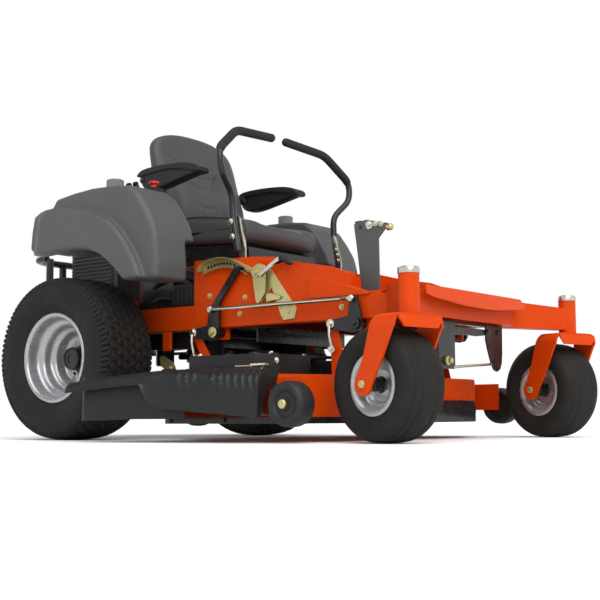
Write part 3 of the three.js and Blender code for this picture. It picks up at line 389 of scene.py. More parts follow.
def rod(path, radius, reference, sides=16):
    """A round section of the given radius at each point of a path, closed with flat ends; the
    section's first direction is square to the reference direction."""
    path = np.asarray(path, float)
    radius = np.broadcast_to(np.asarray(radius, float), len(path))
    tangent = np.gradient(path, axis=0)
    tangent /= np.linalg.norm(tangent, axis=1)[:, None]
    first = np.cross(tangent, reference)
    first /= np.linalg.norm(first, axis=1)[:, None]
    second = np.cross(tangent, first)
    angle = np.arange(sides) * TAU / sides
    ring = np.cos(angle)[:, None] * first[:, None] + np.sin(angle)[:, None] * second[:, None]
    points = path[:, None] + radius[:, None, None] * ring
    points = np.concatenate([np.repeat(path[:1, None], sides, 1), points,
                             np.repeat(path[-1:, None], sides, 1)])
    return points.reshape(-1, 3), net(len(path) + 2, sides)


def hex_heads(places, across=13.0, thick=7.0, axis="y", flip=1, washer=True):
    """Chamfered six-sided bolt heads, each on a round washer, standing on the given places."""
    shapes = [turned([(0, 1.8), (across * 0.577, 1.8), (across * 0.577, thick),
                      (across * 0.5, thick + 1.2), (0, thick + 1.2)], 6, axis, flip=flip)]
    if washer:
        shapes.append(turned([(0, 0), (across * 0.86, 0), (across * 0.86, 1.4),
                              (across * 0.8, 1.9), (0, 1.9)], 24, axis, flip=flip))
    return [(points + np.asarray(place, float), faces)
            for place in places for points, faces in shapes]


def length_along(path):
    """Length from a path's start to each of its points."""
    return np.concatenate([[0], np.cumsum(np.linalg.norm(np.diff(path, axis=0), axis=1))])


def step(value, low, high):
    """Smooth change from 0 at low to 1 at high."""
    t = np.clip((value - low) / (high - low), 0, 1)
    return t * t * (3 - 2 * t)


# ------------------------------------------------------------------ rear wheels

REAR_TRACK = 528.0
REAR_RADIUS = 294.0


def turf_tread(side):
    """Tyre section carried round the axle. The tread's height is one on blocks and falls to
    zero in the grooves: blocks stand in zigzag rows across, each row shifted by half a pitch,
    and narrow lugs stand round both shoulders."""
    middle_half, block_pitch, row_pitch, tread_depth, pitches = 132, 39, 30, 6.2, 46
    half = np.array([(150.4, -99), (164, -101), (171, -109), (178, -110), (196, -119),
                     (222, -124), (246, -123), (262, -119), (272, -112.5), (279, -104),
                     (283.5, -90), (286, -70), (287.6, -40), (288, 0)], float)
    section = np.vstack([half, (half * (1, -1))[-2::-1]])
    side_points = curve_through(section, 400)
    length = length_along(side_points)
    middle = length[-1] / 2
    low, high = middle - middle_half, middle + middle_half
    reach = np.concatenate([np.linspace(0, low, 14, endpoint=False),
                            np.linspace(low, high, 92, endpoint=False),
                            np.linspace(high, length[-1], 14)])
    radius = np.interp(reach, length, side_points[:, 0])
    across = np.interp(reach, length, side_points[:, 1])
    slope_r = np.gradient(radius, reach)
    slope_y = np.gradient(across, reach)
    out_r, out_y = slope_y, -slope_r
    count = 640
    angle = np.arange(count) * TAU / count
    run = (reach - middle)[:, None] + 0 * angle
    pitch = angle * pitches / TAU + 0 * run
    zigzag = 7 * np.abs(2 * (pitch % 1) - 1) - 3.5
    row = (run + zigzag + 10 * row_pitch) / row_pitch
    row_part = row % 1
    shifted = pitch + 0.5 * (np.floor(row) % 2) + 0.22 * row_part
    cell = shifted % 1
    groove = np.minimum(row_part, 1 - row_part) * row_pitch
    cross = np.minimum(cell, 1 - cell) * block_pitch
    blocks = step(groove, 1.6, 4.2) * step(cross, 1.8, 4.6)
    sipe = np.abs(((shifted + 0.5) % 1) - 0.5) * block_pitch
    blocks *= 1 - 0.45 * (1 - step(np.abs(sipe - 9), 0.6, 2.0)) * step(groove, 5, 7)
    lug = (pitch * 2 + 0.012 * run * side) % 1
    lugs = step(np.minimum(lug, 1 - lug) * block_pitch / 2, 1.6, 4.4)
    edge = np.abs(run)
    shoulder = step(edge, 96, 102)
    height = (1 - shoulder) * blocks + shoulder * lugs * (1 - step(edge, 122, 131))
    height *= tread_depth
    rounds = 1.2 * np.exp(-((radius - 184) / 2.2) ** 2) + 1.0 * np.exp(-((radius - 252) / 2.0) ** 2)
    height = height + rounds[:, None] * (edge > 120)
    r = radius[:, None] + out_r[:, None] * height
    y = across[:, None] + out_y[:, None] * height
    points = np.stack([r * np.cos(angle), y, r * np.sin(angle)], -1)
    points = points.reshape(-1, 3) + (0, side * REAR_TRACK, REAR_RADIUS)
    return points, net(len(reach), count, wrap_rows=True)


REAR_RIM = [(0, -34), (60, -34), (78, -33), (88, -30), (94, -22), (97, -10), (98, 2), (101, 8),
            (107, 11), (113, 14), (117, 22), (119, 34), (121, 44), (126, 49), (134, 52),
            (140, 56), (143.5, 64), (144.5, 76), (145, 92), (146, 98), (149, 103), (154, 106),
            (159, 106.5), (162.5, 104), (163, 101), (160, 100.5), (152, 99.7), (150, 96),
            (150, 60), (150, -96), (152, -99.7), (160, -100.5), (163, -101), (162.5, -104),
            (158, -106), (149, -103), (145, -96), (144, 30), (136, 44), (124, 38), (121, 14),
            (110, 2), (104, -8), (100, -34), (90, -39), (64, -39.4)]
REAR_HUB = [(0, -34), (52, -34), (52, -29), (43, -27), (42, 18), (40, 24), (34, 26), (32, 22),
            (18, 22), (16, 17), (0, 17)]
NUT_CIRCLE = 70
NUT_SEAT = REAR_TRACK - 34

for name, side in SIDES:
    wheel = f"rear_wheel_{name}"
    tyre = piece(f"turf_tyre_{name}", [turf_tread(side)], wheel, "tyre_rubber", crease=60)
    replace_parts(tyre, f"rear_tyre_{name}")
    at = (0, side * REAR_TRACK, REAR_RADIUS)
    rim = piece(f"dished_rim_{name}", [turned(REAR_RIM, 96, centre=at, flip=side)], wheel,
                "silver_paint", crease=50)
    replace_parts(rim, f"rear_rim_{name}")
    piece(f"wheel_hub_{name}", [turned(REAR_HUB, 64, centre=at, flip=side)], wheel,
          "black_paint")
    studs = [(NUT_CIRCLE * math.cos(t), side * NUT_SEAT, REAR_RADIUS + NUT_CIRCLE * math.sin(t))
             for t in np.arange(5) * TAU / 5 + 0.3]
    piece(f"wheel_nuts_{name}", hex_heads(studs, 19, 13, flip=side), wheel, "bright_zinc")


# ------------------------------------------------------------------ casters

# x, y and swivel angle of each pivot
PIVOT = {"right": (1446.0, -537.0, -0.215), "left": (1446.0, 537.0, -0.323)}
CASTER_AXLE = (-90.0, 0.0, 171.5)


def swivelled(surfaces, name):
    """Surfaces laid out round the pivot line are turned by the caster's swivel and moved to
    its pivot."""
    x, y, angle = PIVOT[name]
    c, s = math.cos(angle), math.sin(angle)
    turn = np.array([[c, -s, 0], [s, c, 0], [0, 0, 1]])
    return [(points @ turn.T + (x, y, 0), faces) for points, faces in surfaces]


CASTER_HALF = [(80.3, -61), (94, -63), (97, -69), (101, -72), (112, -78), (126, -82.5),
               (140, -82), (152, -77), (160, -70.5), (164.5, -63), (166.5, -59.5), (165.6, -57),
               (168.4, -54), (169.8, -42), (170.3, -33), (169.0, -31), (168.6, -29.5),
               (170.6, -27), (171.4, -14), (171.5, 0)]
CASTER_TYRE = np.array(CASTER_HALF + [(r, -a) for r, a in CASTER_HALF[-2::-1]])
CASTER_RIM = [(20, 30), (34, 26), (44, 25), (50, 27), (54, 33), (58, 36), (62, 36.5), (66, 40),
              (69, 47), (71, 54), (74.5, 60), (78, 66), (84, 69.5), (90, 69.5), (94, 66.5),
              (93.5, 63.5), (88, 62.5), (81, 61.5), (79.7, 58), (79.7, -58), (81, -61.5),
              (88, -62.5), (93.5, -63.5), (94, -66.5), (90, -69.5), (84, -69.5), (78, -66),
              (74, -58), (72, -20), (66, 12), (56, 20), (20, 22)]
CASTER_HUB = [(10, -74), (19, -74), (21, -72), (21.5, -34), (25, -31), (25, 31), (21.5, 34),
              (21, 72), (19, 74), (10, 74)]
AXLE_WASHER = [(0, 100), (17, 100), (17, 102.5), (0, 102.5)]
PIVOT_CAP = [(0, 497), (32.6, 497), (32.6, 507), (31.5, 510.5), (28, 512.3), (0, 512.6)]
PIVOT_BAND = [(31.2, 492.5), (33.2, 492.5), (33.2, 497.5), (31.2, 497.5)]

for name, _ in SIDES:
    wheel = f"caster_wheel_{name}"
    tyre = piece(f"ribbed_tyre_{name}",
                 swivelled([turned(curve_through(CASTER_TYRE, 150), 160, centre=CASTER_AXLE,
                                   ring=True)], name), wheel, "tyre_rubber", crease=60)
    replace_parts(tyre, f"caster_tyre_{name}")
    dish = [turned(CASTER_RIM, 80, centre=CASTER_AXLE, flip=-1, ring=True)]
    rim = piece(f"stepped_rim_{name}", swivelled(dish, name), wheel, "silver_paint", crease=50)
    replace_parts(rim, f"caster_rim_{name}")
    piece(f"caster_hub_{name}",
          swivelled([turned(CASTER_HUB, 48, centre=CASTER_AXLE, ring=True)], name), wheel,
          "black_paint")
    ends = [turned(AXLE_WASHER, 36, centre=CASTER_AXLE, flip=s) for s in (1, -1)]
    ends += [surface for s in (1, -1) for surface in hex_heads(
        [(CASTER_AXLE[0], s * 101.5, CASTER_AXLE[2])], 22, 9, flip=s, washer=False)]
    piece(f"axle_bolt_{name}", swivelled(ends, name), f"caster_{name}", "yellow_zinc")
    x, y, _ = PIVOT[name]
    piece(f"pivot_cap_{name}", [turned(PIVOT_CAP, 64, "z", (x, y, 0)),
                                turned(PIVOT_BAND, 64, "z", (x, y, 0), ring=True)],
          "root", "bright_zinc")


# ------------------------------------------------------------------ shells and skins

def shell(grid, thick, flip=1):
    """A sheet on a grid of points (rows, columns, 3) given a wall: the inner skin is the outer
    one moved along its normals, or against them when flipped, and a strip closes the rim."""
    grid = np.asarray(grid, float)
    rows, columns = grid.shape[:2]
    normal = np.cross(np.gradient(grid, axis=0), np.gradient(grid, axis=1))
    normal /= np.linalg.norm(normal, axis=2)[..., None] + 1e-12
    inner = grid - flip * thick * normal
    rim = np.concatenate([np.arange(columns), np.arange(1, rows) * columns + columns - 1,
                          (rows - 1) * columns + np.arange(columns - 2, -1, -1),
                          np.arange(rows - 2, 0, -1) * columns])
    total = rows * columns
    after = np.roll(rim, -1)
    strip = np.stack([rim, after, after + total, rim + total], -1)
    faces = np.concatenate([net(rows, columns, False, False),
                            net(rows, columns, False, False)[:, ::-1] + total, strip])
    return np.concatenate([grid.reshape(-1, 3), inner.reshape(-1, 3)]), faces


def lofted(loops):
    """A closed skin over loops of points (stations, points, 3), each end drawn to its middle."""
    loops = np.asarray(loops, float)
    ends = [np.broadcast_to(loops[k].mean(0), loops[k].shape) for k in (0, -1)]
    points = np.concatenate([ends[0][None], loops, ends[1][None]])
    return points.reshape(-1, 3), net(len(points), loops.shape[1])


def drawn_in(outline, distance):
    """An anticlockwise outline with each point moved inwards, square to its neighbours' line."""
    along = np.roll(outline, -1, 0) - np.roll(outline, 1, 0)
    along /= np.linalg.norm(along, axis=1)[:, None] + 1e-12
    return outline + distance * np.stack([-along[:, 1], along[:, 0]], -1)


def swept_outline(outline, stations, bend=None):
    """An (x, z) outline carried along Y through stations of (y, inset); a bend may shift it."""
    loops = []
    for y, distance in stations:
        ring = drawn_in(np.asarray(outline, float), distance)
        x, z = ring.T
        if bend is not None:
            x, z = bend(x, z, y)
        loops.append(np.stack([x, np.full(len(x), float(y)), z], -1))
    return lofted(loops)


def round_shoulder(outer, inner, radius, steps=7):
    """Stations of (y, inset) from outer to inner whose two ends are quarter circles."""
    direction = math.copysign(1, inner - outer)
    t = np.linspace(0, math.pi / 2, steps)
    first = np.stack([outer + direction * radius * (1 - np.sin(t)), radius * (1 - np.cos(t))], -1)
    last = np.stack([inner - direction * radius * (1 - np.sin(t)), radius * (1 - np.cos(t))], -1)
    return np.concatenate([first[::-1], last])


def settled(made, voxel, rounds):
    """A piece's overlapping closed bodies merged into one skin of even cells, then rounded by
    moving each point halfway to its neighbours, as many times as asked."""
    remesh = made.modifiers.new("skin", "REMESH")
    remesh.mode = "VOXEL"
    remesh.voxel_size = voxel / 1000
    remesh.use_smooth_shade = True
    smooth = made.modifiers.new("round", "SMOOTH")
    smooth.factor = 0.5
    smooth.iterations = rounds
    bpy.context.view_layer.update()
    seen = made.evaluated_get(bpy.context.evaluated_depsgraph_get())
    mesh = bpy.data.meshes.new_from_object(seen)
    made.modifiers.clear()
    made.data = mesh
    mesh.polygons.foreach_set("use_smooth", np.ones(len(mesh.polygons), bool))
    return made


# ------------------------------------------------------------------ fenders

TANK = np.array([
    (-178, 700), (-100, 690), (33, 692), (120, 690), (180, 680), (238, 656), (288, 620),
    (338, 574), (362, 550), (424, 549), (484, 549), (488, 600), (480, 690), (464, 744),
    (430, 800), (390, 853), (344, 886), (260, 895), (150, 898), (60, 892), (-34, 880),
    (-52, 852), (-120, 846), (-158, 828), (-172, 765)], float)
TANK_INNER = np.array([
    (-178, 700), (-100, 690), (33, 692), (120, 690), (250, 690), (400, 690), (480, 692),
    (464, 744), (430, 800), (390, 853), (344, 886), (260, 895), (150, 898), (60, 892),
    (-34, 880), (-52, 852), (-120, 846), (-158, 828), (-172, 765)], float)
FLARE = np.array([
    (-105, 684), (-68, 672), (33, 679), (119, 678), (173, 670), (227, 651), (274, 618),
    (321, 578), (347, 550), (400, 549), (438, 550), (413, 604), (379, 660), (321, 728),
    (274, 766), (203, 796), (155, 814), (88, 828), (0, 842), (-60, 840), (-88, 815),
    (-97, 750)], float)


def even_outline(corners, count):
    """Points spread evenly by length round a closed outline."""
    ring = np.vstack([corners, corners[:1]])
    length = length_along(ring)
    at = np.arange(count) * length[-1] / count
    return np.stack([np.interp(at, length, ring[:, k]) for k in (0, 1)], -1)


def flare_bend(x, z, y):
    """The flare's tail wraps inwards behind the wheel."""
    inwards = min(1.0, (640 - abs(y)) / 60)
    return x - 75 * inwards * np.maximum(0, (40 - x) / 140), z


def mirrored(stations, side):
    """Stations of (y, inset) laid out on one side of the machine."""
    return [(side * y, inset) for y, inset in stations]


def filler_cap(place):
    """A turned cap whose grip zone carries broad teeth: every sixth turn of a cosine, squared
    off."""
    segments, tooth = 144, 1.6
    teeth = tooth * (np.cos(np.arange(segments) * TAU / 6) > 0)
    base, faces = turned([(0, 888), (33, 888), (33, 904), (31, 906), (31, 909), (30, 909),
                          (30, 938), (27, 941.5), (0, 942)], segments, "z")
    grown = base.reshape(-1, segments, 3)
    radial = grown[..., :2] / (np.linalg.norm(grown[..., :2], axis=2)[..., None] + 1e-9)
    ribbed = (grown[..., 2] > 908.5) & (grown[..., 2] < 940)
    grown[..., :2] += radial * (teeth[None] * ribbed)[..., None]
    return grown.reshape(-1, 3) + place, faces


FLARE_STATIONS = [(640, 22), (639, 13), (636, 7), (631, 3), (624, 0), (600, 0), (580, 0)]
NECK = [(0, 880), (38, 880), (38, 898), (35, 903), (0, 903)]

for name, side in SIDES:
    bodies = [
        swept_outline(even_outline(TANK, 150), mirrored(round_shoulder(608, 446, 20), side)),
        swept_outline(even_outline(TANK_INNER, 150), mirrored(round_shoulder(470, 402, 14), side)),
        swept_outline(even_outline(FLARE, 150), mirrored(FLARE_STATIONS, side), flare_bend)]
    fender = piece(f"fender_shell_{name}", bodies, "root", "grey_plastic")
    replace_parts(settled(fender, 5.0, 6), f"fender_{name}")
    filler = (170, side * 500, 0)
    piece(f"filler_cap_{name}", [filler_cap(filler)], "root", "grey_plastic", GREY_CAP)
    piece(f"filler_neck_{name}", [turned(NECK, 64, "z", filler)], "root", "black_plastic")

plate = piece("switch_plate", [swept_outline(
    even_outline(np.array([(256, 880), (344, 880), (344, 897), (341, 900), (259, 900),
                           (256, 897)], float), 90), [(-475, 2), (-474, 0), (-426, 0),
                                                      (-425, 2)])],
    "root", "black_plastic")
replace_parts(plate, "blade_switch")
piece("switch_knob", [turned([(0, 896), (10, 896), (9, 905), (8, 910), (11, 914), (17, 917),
                              (18.5, 920), (18, 923.5), (13, 925), (0, 925.5)], 48, "z",
                             (318, -450, 0))], "root", "black_plastic", RED)
KNOB_PLACES = (205, 240)
piece("throttle_and_choke_knobs", [
    rod(bent([(x, -452, 890), (x, -452, 918), (x - 12, -452, 926)], 8), 5, (0, 1, 0))
    for x in KNOB_PLACES] + [turned([(0, -9), (7, -9), (9, -5), (9, 5), (7, 9), (0, 9)], 32, "x",
                                    (x - 14, -452, 927)) for x in KNOB_PLACES],
    "root", "black_plastic")


# ------------------------------------------------------------------ seat

def valley(value, centre, half):
    """A rounded groove's depth: one at its centre, falling off over half its width."""
    return np.exp(-((value - centre) / half) ** 2)


def cushion_skin():
    """Side outline carried across the seat. The top rises into two side bolsters and falls to
    the front edge, with five sewn channels across its middle and one along each bolster; the
    ends are quarter circles."""
    outline = closed_curve([(132, 740), (236, 730), (340, 722), (440, 717), (520, 714), (558, 722),
                            (573, 744), (572, 768), (556, 788), (480, 804), (400, 815),
                            (320, 824), (250, 832), (208, 820), (176, 796), (140, 764)], 220)
    corner = np.linspace(0, math.pi / 2, 10)
    end_y = 196 + 24 * np.cos(corner)
    end_inset = 24 * (1 - np.sin(corner))
    ys = np.concatenate([end_y, np.linspace(194, -194, 110), -end_y[::-1]])
    insets = np.concatenate([end_inset, np.zeros(110), end_inset[::-1]])
    loops = []
    for y, inset in zip(ys, insets):
        x, z = drawn_in(outline, inset).T
        top = step(z, 752, 776)
        part = abs(y) / 220
        bolster = 9 * math.exp(-((abs(y) - 168) / 42) ** 2) - 5 * (1 - part ** 2)
        z = z + top * bolster * step(x, 160, 260)
        if abs(y) < 205:
            lines = sum(valley(x, c - 10 * (y / 130) ** 2, 5.5) for c in (270, 330, 390, 450, 510))
            z = z - 5.5 * top * lines * float(1 - step(abs(y), 118, 126))
            z = z - 5.5 * top * math.exp(-((abs(y) - 128) / 5) ** 2)
        x = x - 22 * part ** 2 * np.maximum(0, (x - 380) / 200)
        loops.append(np.stack([x, np.full(len(x), y), z], -1))
    return lofted(loops)


cushion = piece("seat_cushion_cover", [cushion_skin()], "root", "seat_vinyl", crease=70)
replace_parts(cushion, "seat_cushion")
PIPED_EDGE = [(196, 800), (226, 826), (300, 829), (400, 818), (480, 806), (530, 791), (551, 768),
              (551, 740), (540, 722)]
piece("seat_cushion_piping", [
    rod(curve_through([(x, side * 213, z) for x, z in PIPED_EDGE], 160), 3.4, (0, 1, 0), 10)
    for _, side in SIDES], "root", "seat_vinyl")


def back_skin():
    """Level sections of the backrest: a squared oval whose depth and width follow the height.
    The front face swells into two side bolsters, two curved seams divide off a centre panel
    and five bowed channels cross it."""
    rows = np.array([
        (778, 136, 168, 176), (790, 122, 190, 208), (820, 108, 201, 220), (860, 94, 204, 226),
        (920, 80, 192, 231), (1000, 65, 160, 233), (1080, 53, 134, 233), (1130, 45, 117, 227),
        (1160, 44, 108, 207), (1180, 46, 101, 176), (1194, 52, 94, 132), (1202, 60, 86, 84),
        (1206, 68, 78, 30)], float)
    z, rear, front, half = curve_through(rows, 150).T
    angle = np.arange(260) * TAU / 260
    c, s = np.cos(angle), np.sin(angle)
    across = np.sign(s) * np.abs(s) ** 0.62
    deep = np.sign(c) * np.abs(c) ** 0.6
    middle = ((front + rear) / 2)[:, None]
    depth = ((front - rear) / 2)[:, None]
    y = half[:, None] * across
    facing = step(deep, 0.1, 0.7)
    hollow = np.interp(z, [778, 860, 1000, 1100, 1160, 1206], [0, 20, 26, 12, 4, 0])[:, None]
    share = np.clip(np.abs(y) / (half[:, None] + 1e-6), 0, 1)
    x = middle + depth * deep - facing * hollow * (1 - step(share, 0.42, 0.86))
    height = z[:, None]
    seam_y = np.interp(z, [800, 880, 960, 1030, 1070, 1100], [78, 56, 52, 74, 112, 170])[:, None]
    inside = 1 - step(np.abs(y), seam_y - 6, seam_y - 1)
    seams = valley(np.abs(y), seam_y, 3.6) * step(height, 800, 830) * (1 - step(height, 1098, 1112))
    rows_z = sum(valley(height, level - 14 * (1 - (y / (seam_y + 1)) ** 2), 4.2)
                 for level in (880, 918, 958, 1000, 1044))
    x = x - facing * 5 * np.maximum(seams, inside * rows_z)
    x = x + facing * 3.5 * inside * step(height, 850, 870) * (1 - step(height, 1060, 1080))
    return lofted(np.stack([x, y, height + 0 * y], -1))


backrest = piece("seat_back_cover", [back_skin()], "root", "seat_vinyl", crease=70)
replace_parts(backrest, "seat_back")

ARM_BODY = np.array([(108, 984), (122, 950), (158, 933), (215, 935), (320, 955), (392, 970),
                     (398, 978), (330, 996), (240, 1006), (150, 1004), (116, 1000)], float)
ARM_PAD = np.array([(104, 990), (240, 1000), (330, 990), (400, 972), (416, 974), (419, 983),
                    (402, 999), (342, 1015), (240, 1021.5), (150, 1019.5), (110, 1010)], float)
for name, side in SIDES:
    parts = [
        swept_outline(closed_curve(ARM_BODY, 160), mirrored(round_shoulder(316, 268, 9), side)),
        swept_outline(closed_curve(ARM_PAD, 160), mirrored(round_shoulder(323, 261, 7), side)),
        turned([(0, 232), (14, 232), (14, 272), (0, 272)], 40, "y", (122, 0, 980), flip=side)]
    rest = piece(f"armrest_pad_{name}", parts, "root", "black_plastic")
    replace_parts(settled(rest, 2.6, 3), f"armrest_{name}")
    piece(f"armrest_bolt_{name}", hex_heads([(122, side * 316, 976)], 14, 5, flip=side), "root",
          "black_paint")


# ------------------------------------------------------------------ steering levers

LEVER_CORNERS = np.array([(594, 305.5, 664), (568, 305.5, 790), (566, 305.5, 868),
                          (586, 390, 945), (581, 395, 1018), (552, 268, 1113), (533, 43, 1129)])
GRIP_START_Z = 1010
STRAP = np.array([(586, 664), (618, 664), (614, 700), (600, 740), (590, 786), (580, 794),
                  (570, 786), (573, 740), (582, 700)], float)
STRAP_STATIONS = [(291.6, 0.8), (291.2, 0), (288.2, 0), (287.8, 0.8)]
STRAP_BOLTS = [(599, 690), (594, 712), (588, 734)]
LEVER_BOLTS = [(577, 715), (569, 770)]


def foam_sleeve(path):
    """A round sleeve over the path's upper run, with its far end closed by a dome."""
    held = path[path[:, 2] > GRIP_START_Z]
    held = held[np.concatenate([[True], np.linalg.norm(np.diff(held, axis=0), axis=1) > 0.5])]
    reach = length_along(held)
    even = np.linspace(0, reach[-1], 70)
    held = np.stack([np.interp(even, reach, held[:, k]) for k in range(3)], -1)
    direction = (held[-1] - held[-2]) / np.linalg.norm(held[-1] - held[-2])
    dome = held[-1] + direction * np.array([[4], [8], [11], [13]])
    radius = np.concatenate([[12.6, 14.8, 15.8], np.full(len(held) - 3, 16.2),
                             [15.2, 12.6, 8.4, 2.0]])
    return rod(np.concatenate([held, dome]), radius, (1, 0.2, 0), 32)


for name, side in SIDES:
    path = bent(LEVER_CORNERS * (1, side, 1), 34, 12)
    lever = f"drive_lever_{name}"
    tube = piece(f"lever_tube_{name}", [rod(path, 12.5, (1, 0.2, 0), 28)], lever, "black_paint",
                 crease=50)
    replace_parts(tube, f"lever_{name}")
    piece(f"foam_grip_{name}", [foam_sleeve(path)], lever, "black_rubber", FOAM, crease=80)
    piece(f"slotted_strap_{name}",
          [swept_outline(even_outline(STRAP, 90), mirrored(STRAP_STATIONS, side))],
          f"control_arm_{name}", "bright_zinc")
    piece(f"lever_bolts_{name}",
          hex_heads([(x, side * 318, z) for x, z in LEVER_BOLTS], 13, 6, flip=side), lever,
          "bright_zinc")
    piece(f"strap_bolts_{name}",
          hex_heads([(x, side * 287.6, z) for x, z in STRAP_BOLTS], 11, 5, flip=-side),
          f"control_arm_{name}", "bright_zinc")


# ------------------------------------------------------------------ discharge chute

CHUTE_LINE = np.array([
    # x, shoulder y, shoulder z, foot y, foot z
    (1016, -692, 206, -713, 76), (960, -709, 210, -731, 82), (900, -726, 213, -748, 88),
    (780, -762, 217, -784, 99), (700, -786, 219, -806, 108), (672, -796, 219, -812, 116),
    (654, -802, 219, -815, 132), (640, -806, 218, -817, 156), (628, -810, 217, -819, 178),
    (610, -815, 216, -822, 192), (580, -824, 214, -830, 197), (520, -843, 209, -849, 193),
    (440, -868, 201, -873, 185), (392, -882, 196, -886, 180), (362, -886, 193, -889, 179),
    (352, -880, 193, -883, 181)], float)
HINGE_Y = -618.0
SHOULDER_RADIUS = 30.0
TOP_END, WALL_START = 0.46, 0.66
RIB_PLACES = (726, 752, 778, 838, 862, 886, 910, 934, 957, 979)
RIB_HEIGHT, RIB_HALF, RIB_LEAN = 4.6, 4.2, 26


def chute_skin():
    """Lines of the hood from its hinge over the top, round the shoulder and down the wall. The
    wall's foot rises in an S and leaves a narrow lip behind it. Ten ribs cross the shoulder,
    each running forward as it goes down."""
    line = curve_through(CHUTE_LINE, 330)
    x, sy, sz, fy, fz = line.T[:, :, None]
    t = np.linspace(0, 1, 90)[None]
    top = np.clip(t / TOP_END, 0, 1)
    wall = np.clip((t - WALL_START) / (1 - WALL_START), 0, 1)
    turn = np.clip((t - TOP_END) / (WALL_START - TOP_END), 0, 1) * math.pi / 2
    inner_z = 232 - 10 * step(640 - x, 0, 260)
    y_top = HINGE_Y + (sy + SHOULDER_RADIUS - HINGE_Y) * top
    z_top = inner_z + (sz - inner_z) * top + 5 * np.sin(math.pi * top)
    y_turn = sy + SHOULDER_RADIUS - SHOULDER_RADIUS * np.sin(turn)
    z_turn = sz - SHOULDER_RADIUS * (1 - np.cos(turn))
    wall_top = sz - SHOULDER_RADIUS
    y_wall = sy + (fy - sy) * wall
    z_wall = wall_top + (np.minimum(fz, wall_top - 2) - wall_top) * wall
    y = np.where(t < TOP_END, y_top, np.where(t < WALL_START, y_turn, y_wall))
    z = np.where(t < TOP_END, z_top, np.where(t < WALL_START, z_turn, z_wall))
    lean = RIB_LEAN * (np.clip((t - 0.2) / 0.5, 0, 1)) ** 1.4
    spread = sum(np.exp(-((x - lean - place) / RIB_HALF) ** 2) for place in RIB_PLACES)
    rib = RIB_HEIGHT * spread * step(t, 0.2, 0.34) * (1 - step(t, 0.66, 0.76))
    y = y - rib * np.clip((t - 0.44) / 0.2, 0, 1)
    z = z + rib * (1 - np.clip((t - 0.48) / 0.18, 0, 1))
    return np.stack([x + 0 * t, y, z], -1)


def flap_skin():
    """The set-back wall behind the S: it hangs from under the lip and curls in at its tail."""
    at = curve_through([(760, -748), (700, -764), (650, -770), (600, -776), (540, -794),
                        (470, -816), (416, -832), (392, -834), (378, -822), (374, -800)], 90)
    depth = np.linspace(0, 1, 24)[None]
    x = at[:, :1] + 0 * depth
    y = at[:, 1:] - 5 * depth
    z = 212 - 4 * step(600 - x, 0, 200) + (74 - 212) * depth
    return np.stack([x, y, z], -1)


def end_plate(corners, count, places):
    """A flat plate across the hood from a (y, z) outline repeated at each x."""
    ring = even_outline(np.array(corners, float), count)
    return lofted([np.stack([np.full(count, x), *ring.T], -1) for x in places])


hood = [
    shell(chute_skin(), 4.0), shell(flap_skin(), 4.0),
    end_plate([(-618, 231), (-650, 226), (-690, 208), (-703, 190), (-712, 79), (-694, 79),
               (-672, 150), (-618, 176)], 100, (1011.5, 1012.0, 1015.5, 1016.0)),
    end_plate([(-628, 196), (-606, 196), (-604, 262), (-612, 276), (-624, 270), (-632, 236)], 60,
              (996, 996.5, 1016, 1016.5))]
hood += [turned([(0, x - 27), (8.5, x - 27), (8.5, x + 27), (0, x + 27)], 28, "x",
                (0, -616, 230)) for x in (560, 760, 950)]
chute = piece("chute_hood", hood, "chute", "black_plastic", crease=50)
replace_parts(chute, "discharge_chute")
piece("chute_hinge_bolt", hex_heads([(1016.4, -617, 252)], 11, 4, "x"), "chute", "bright_zinc")


def coil(x0, x1, y, z, radius, turns):
    """A helix along X whose angle grows evenly with its length."""
    t = np.linspace(0, turns * TAU, 30 * turns)
    return np.stack([x0 + (x1 - x0) * t / t[-1], y + radius * np.cos(t), z + radius * np.sin(t)],
                    -1)


piece("chute_spring", [rod(coil(906, 976, -606, 239, 6, 14), 1.3, (1, 0, 0.01), 6),
                       rod([(840, -604, 239), (1004, -604, 239)], 3.2, (0, 0, 1), 12),
                       rod(bent([(976, -606, 244), (990, -640, 240), (1000, -668, 226)], 8), 1.8,
                           (0, 0, 1), 10)], "deck", "bright_zinc")


# ------------------------------------------------------------------ deck rollers and edges

ROLLER = [(9.6, 36), (20, 36), (22, 31), (36, 29), (39, 33), (47, 37), (50, 38.6), (55, 38.8),
          (60, 37), (65, 31), (68, 22), (69, 8), (69.4, 0)]
ROLLER_LOOP = ROLLER + [(r, -a) for r, a in ROLLER[-2::-1]]
ROLLER_BOLT = [(8.2, 0), (14, 0), (14, 7), (11, 9.5), (0, 9.8)]
ROLLER_Z = 117
for end, x, y in (("front", 1107, 661), ("rear", 400, 300)):
    for name, side in SIDES:
        place = (x, side * y, ROLLER_Z)
        wheel = piece(f"{end}_gauge_wheel_{name}",
                      [turned(ROLLER_LOOP, 72, "y", place, ring=True)],
                      f"{end}_wheel_{name}_of_deck", "black_rubber", crease=55)
        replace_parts(wheel, f"{end}_roller_{name}")
        piece(f"{end}_gauge_wheel_bolt_{name}",
              [turned(ROLLER_BOLT, 32, "y", (x, side * (y + 39.4), ROLLER_Z), flip=side)],
              "deck", "yellow_zinc")

DECK_EDGE = [(481, -551), (540, -610.6), (1020, -610.6), (1172.5, -330), (1172.5, 330),
             (1020, 610.6), (540, 610.6), (481, 551)]


def edge_band(corners, out, low, high):
    """A flat band standing a little outside a run of corners, between two heights."""
    line = np.asarray(corners, float)
    along = np.gradient(line, axis=0)
    along /= np.linalg.norm(along, axis=1)[:, None]
    outward = np.stack([along[:, 1], -along[:, 0]], -1)
    levels = np.array([low, high], float)
    grid = np.zeros((len(line), 2, 3))
    grid[..., :2] = (line + out * outward)[:, None]
    grid[..., 2] = levels
    return shell(grid, out + 0.6)


